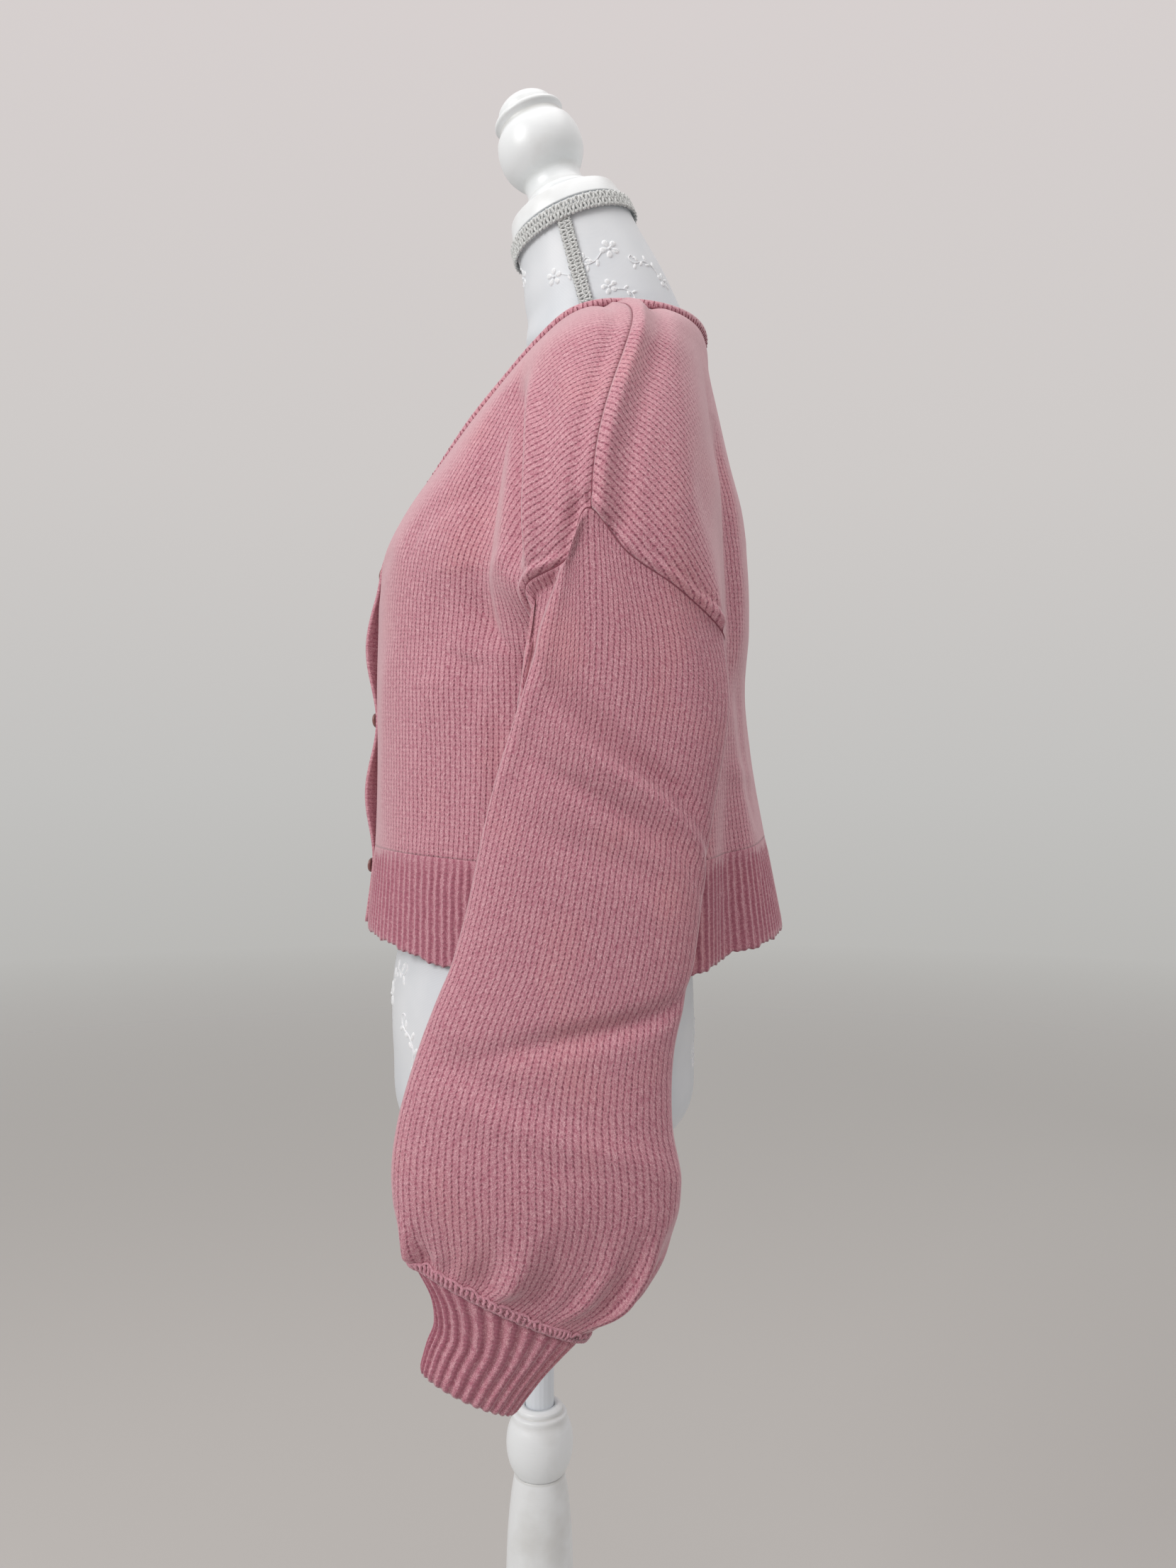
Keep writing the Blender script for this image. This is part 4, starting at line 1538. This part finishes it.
# %% Braid tools
def braid_paths(base, aside, outward, width, pitch, closed, rise=0.0009):
    """Two swinging cords and two edge cords on a ribbon's middle line."""
    base = np.asarray(base, float)
    lengths = np.concatenate(([0.0], np.cumsum(np.linalg.norm(np.diff(base, axis=0), axis=1))))
    total = lengths[-1] + (np.linalg.norm(base[0] - base[-1]) if closed else 0.0)
    turns = max(2, round(total / pitch))
    phase = 2.0 * np.pi * turns * lengths / total
    paths = []
    for sign in (1.0, -1.0):
        swing = 0.27 * width * np.sin(phase) * sign
        lift = rise * (1.0 + 0.55 * np.cos(2.0 * phase + (0.0 if sign > 0 else np.pi)))
        for lane in (-0.22, 0.22):
            paths.append((base + aside * (swing + lane * width)[:, None] + outward * lift[:, None], closed))
    return paths


# %% Neck braid
BRAID_WIDTH, BRAID_THICKNESS, BRAID_DROP, BRAID_GAP = 0.0120, 0.0030, 0.0085, 0.0010
low_ring, high_ring = NECK.each()[-2], NECK.each()[-1]
slope = math.hypot(high_ring["height"] - low_ring["height"], high_ring["centre_y"] - low_ring["centre_y"])
tilted = Matrix.Translation(CAP_FOOT) @ Matrix.Rotation(math.radians(NECK_TILT_DEG), 4, "X")


def neck_trim_point(angle, drop, out):
    share = drop / slope
    wide = high_ring["half_width"] + (low_ring["half_width"] - high_ring["half_width"]) * share + out
    deep = high_ring["half_depth"] + (low_ring["half_depth"] - high_ring["half_depth"]) * share + out
    return np.array(tilted @ Vector((wide * math.cos(angle), deep * math.sin(angle), -drop)))


BRAID_PITCH, CORD = 0.0062, 0.0011
angles = np.linspace(0.0, 2.0 * math.pi, 720, endpoint=False)
ring = np.array([neck_trim_point(a, BRAID_DROP, BRAID_GAP + 0.0010) for a in angles])
upper = np.array([neck_trim_point(a, BRAID_DROP - 0.001, BRAID_GAP + 0.0010) for a in angles])
outer_ring = np.array([neck_trim_point(a, BRAID_DROP, BRAID_GAP + 0.0030) for a in angles])
points, faces = tube_mesh(braid_paths(ring, unit(upper - ring), unit(outer_ring - ring), BRAID_WIDTH, BRAID_PITCH, True),
                          CORD, 6)
neck_gimp = mesh_object("neck_gimp", points, faces, "form", gimp_thread)
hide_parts("neck_braid")

# %% Side braid and backing
def on_form(point):
    near, out, _, _ = form_tree.find_nearest(Vector(point))
    return np.array(near), np.array(out)


SIDE_BRAID = Table("share x y z", (0.0, 0.058, 0.0165, 1.4640), (0.25, 0.058, 0.0207, 1.4490), (0.6, 0.060, 0.0290, 1.4180),
                   (1.0, 0.064, 0.0400, 1.3760))
SIDE_BRAID_WIDTH = 0.0105
for mirror, name in ((1.0, "left"), (-1.0, "right")):
    share = np.linspace(0.0, 1.0, 260)
    line = np.stack([SIDE_BRAID(axis, share) for axis in "xyz"], axis=-1) * (mirror, 1.0, 1.0)
    spots = [on_form(point) for point in line]
    base = np.array([spot + out * 0.0006 for spot, out in spots])
    outward = np.array([out for _, out in spots])
    aside = unit(np.cross(outward, np.gradient(base, axis=0)))
    paths = braid_paths(base, aside, outward, SIDE_BRAID_WIDTH, BRAID_PITCH, False, 0.0008)
    points, faces = tube_mesh(paths, 0.0010, 6)
    side_gimp = mesh_object("side_gimp_" + name, points, faces, "form", gimp_thread)
print("braids:", {name: count for name, count in TRIANGLES.items() if "gimp" in name})

# %% [markdown]
# ## Buttons
# Small four-hole buttons: a turned disc with a raised rim and a dished middle, four dark holes
# and two crossed stitches of thread.

# %% Make the buttons
BUTTON_RADIUS, BUTTON_THICKNESS = 0.0060, 0.0024
for number in (1, 2, 3):
    name = "button_%d" % number
    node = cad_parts[name]
    cloud = np.array([vertex.co for vertex in node.data.vertices])
    middle = cloud.mean(axis=0)
    _, _, axes = np.linalg.svd(cloud - middle, full_matrices=False)
    facing = axes[2] if axes[2][1] < 0.0 else -axes[2]
    half = 0.5 * BUTTON_THICKNESS
    profile = ((0.0022, 0.05 * half), (0.0037, 0.1 * half), (0.0044, 0.75 * half), (0.0051, half), (0.0057, 0.75 * half),
               (0.0060, 0.2 * half), (0.0058, -0.5 * half), (0.0052, -half))
    disc = turned("button_disc_%d" % number, profile, horn, None, "form", 0.05 * half, -half)
    turn = Vector(facing).to_track_quat("Z", "Y").to_matrix().to_4x4()
    disc.parent = None
    disc.matrix_world = Matrix.Translation(Vector(middle)) @ turn
    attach(disc, "form")
    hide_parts(name)
    paths = []
    for slant in (45.0, 135.0):
        a = math.radians(slant)
        line = [(0.0022 * s * math.cos(a), 0.0022 * s * math.sin(a), half * (0.2 + 0.5 * (1.0 - s * s)))
                for s in np.linspace(-1.0, 1.0, 9)]
        place = Matrix.Translation(Vector(middle)) @ turn
        paths.append(([np.array(place @ Vector(p)) for p in line], False))
    points, faces = tube_mesh(paths, 0.0004, 6)
    stitches = mesh_object("button_thread_%d" % number, points, faces, "form", sewing_thread)

# %% [markdown]
# ## Floor, air and light
# A plain pale floor that fades into the air keeps the eye on the piece. The air is lighter
# above than below, as a room is. A large soft lamp stands for the window, one hangs overhead
# and a weak one fills from the other side.

# %% Stage
floor_mesh = bpy.data.meshes.new("floor")
FLOOR_REACH = 9.0
floor_mesh.from_pydata([(-FLOOR_REACH, -FLOOR_REACH, 0.0), (FLOOR_REACH, -FLOOR_REACH, 0.0),
                        (FLOOR_REACH, FLOOR_REACH, 0.0), (-FLOOR_REACH, FLOOR_REACH, 0.0)], [], [(0, 1, 2, 3)])
floor = bpy.data.objects.new("floor", floor_mesh)
scene.collection.objects.link(floor)
floor_finish = Finish("pale floor", Roughness=0.9)
reach = floor_finish.add("ShaderNodeVectorMath", output=1, settings={"operation": "LENGTH"}, i0=floor_finish.place(False))
faded = floor_finish.ramp(floor_finish.maths("DIVIDE", reach, FLOOR_REACH), (0.12, 1.0), (0.75, 0.0))
floor_finish.set(floor_finish.shader, "Alpha", faded)
floor_mesh.materials.append(floor_finish.done(srgb(184, 183, 180)))

world = bpy.data.worlds.new("air")
scene.world = world
world.use_nodes = True
background = world.node_tree.nodes["Background"]
background.inputs["Strength"].default_value = 0.94
tree = world.node_tree
way = tree.nodes.new("ShaderNodeTexCoord")
split = tree.nodes.new("ShaderNodeSeparateXYZ")
half = tree.nodes.new("ShaderNodeMath")
half.operation = "MULTIPLY_ADD"
half.inputs[1].default_value = half.inputs[2].default_value = 0.5
fade = tree.nodes.new("ShaderNodeValToRGB")
AIR = ((0.23, srgb(168, 167, 163)), (0.40, srgb(186, 185, 182)), (0.50, srgb(200, 199, 197)),
       (0.62, srgb(212, 208, 206)), (0.77, srgb(221, 214, 213)))
while len(fade.color_ramp.elements) < len(AIR):
    fade.color_ramp.elements.new(0.5)
for point, (position, colour) in zip(fade.color_ramp.elements, AIR):
    point.position = position
    point.color = colour
tree.links.new(way.outputs["Generated"], split.inputs[0])
tree.links.new(split.outputs[2], half.inputs[0])
tree.links.new(half.outputs[0], fade.inputs[0])
tree.links.new(fade.outputs[0], background.inputs["Color"])


def lamp(name, place, aim, size, power, colour):
    light = bpy.data.lights.new(name, "AREA")
    light.size = size
    light.energy = power
    light.color = colour[:3]
    item = bpy.data.objects.new(name, light)
    item.location = place
    item.rotation_euler = (Vector(aim) - Vector(place)).to_track_quat("-Z", "Y").to_euler()
    scene.collection.objects.link(item)
    return item


lamp("window", (1.5, -1.9, 2.3), (0.0, 0.0, 1.1), 1.3, 40.0, (1.0, 0.985, 0.97))
lamp("ceiling", (0.4, 0.2, 3.0), (0.0, 0.0, 1.0), 1.8, 16.0, (1.0, 0.98, 0.96))
lamp("fill", (-1.5, 2.0, 1.6), (0.0, 0.0, 1.0), 2.0, 4.0, (0.97, 0.98, 1.0))

# %% [markdown]
# ## Check and finish
# The box before and after shows that the dressed part stays the size of the CAD model.

# %% Finish
total = sum(TRIANGLES.values())
print("triangles in all:", total, "largest:", max(TRIANGLES.items(), key=lambda item: item[1]))
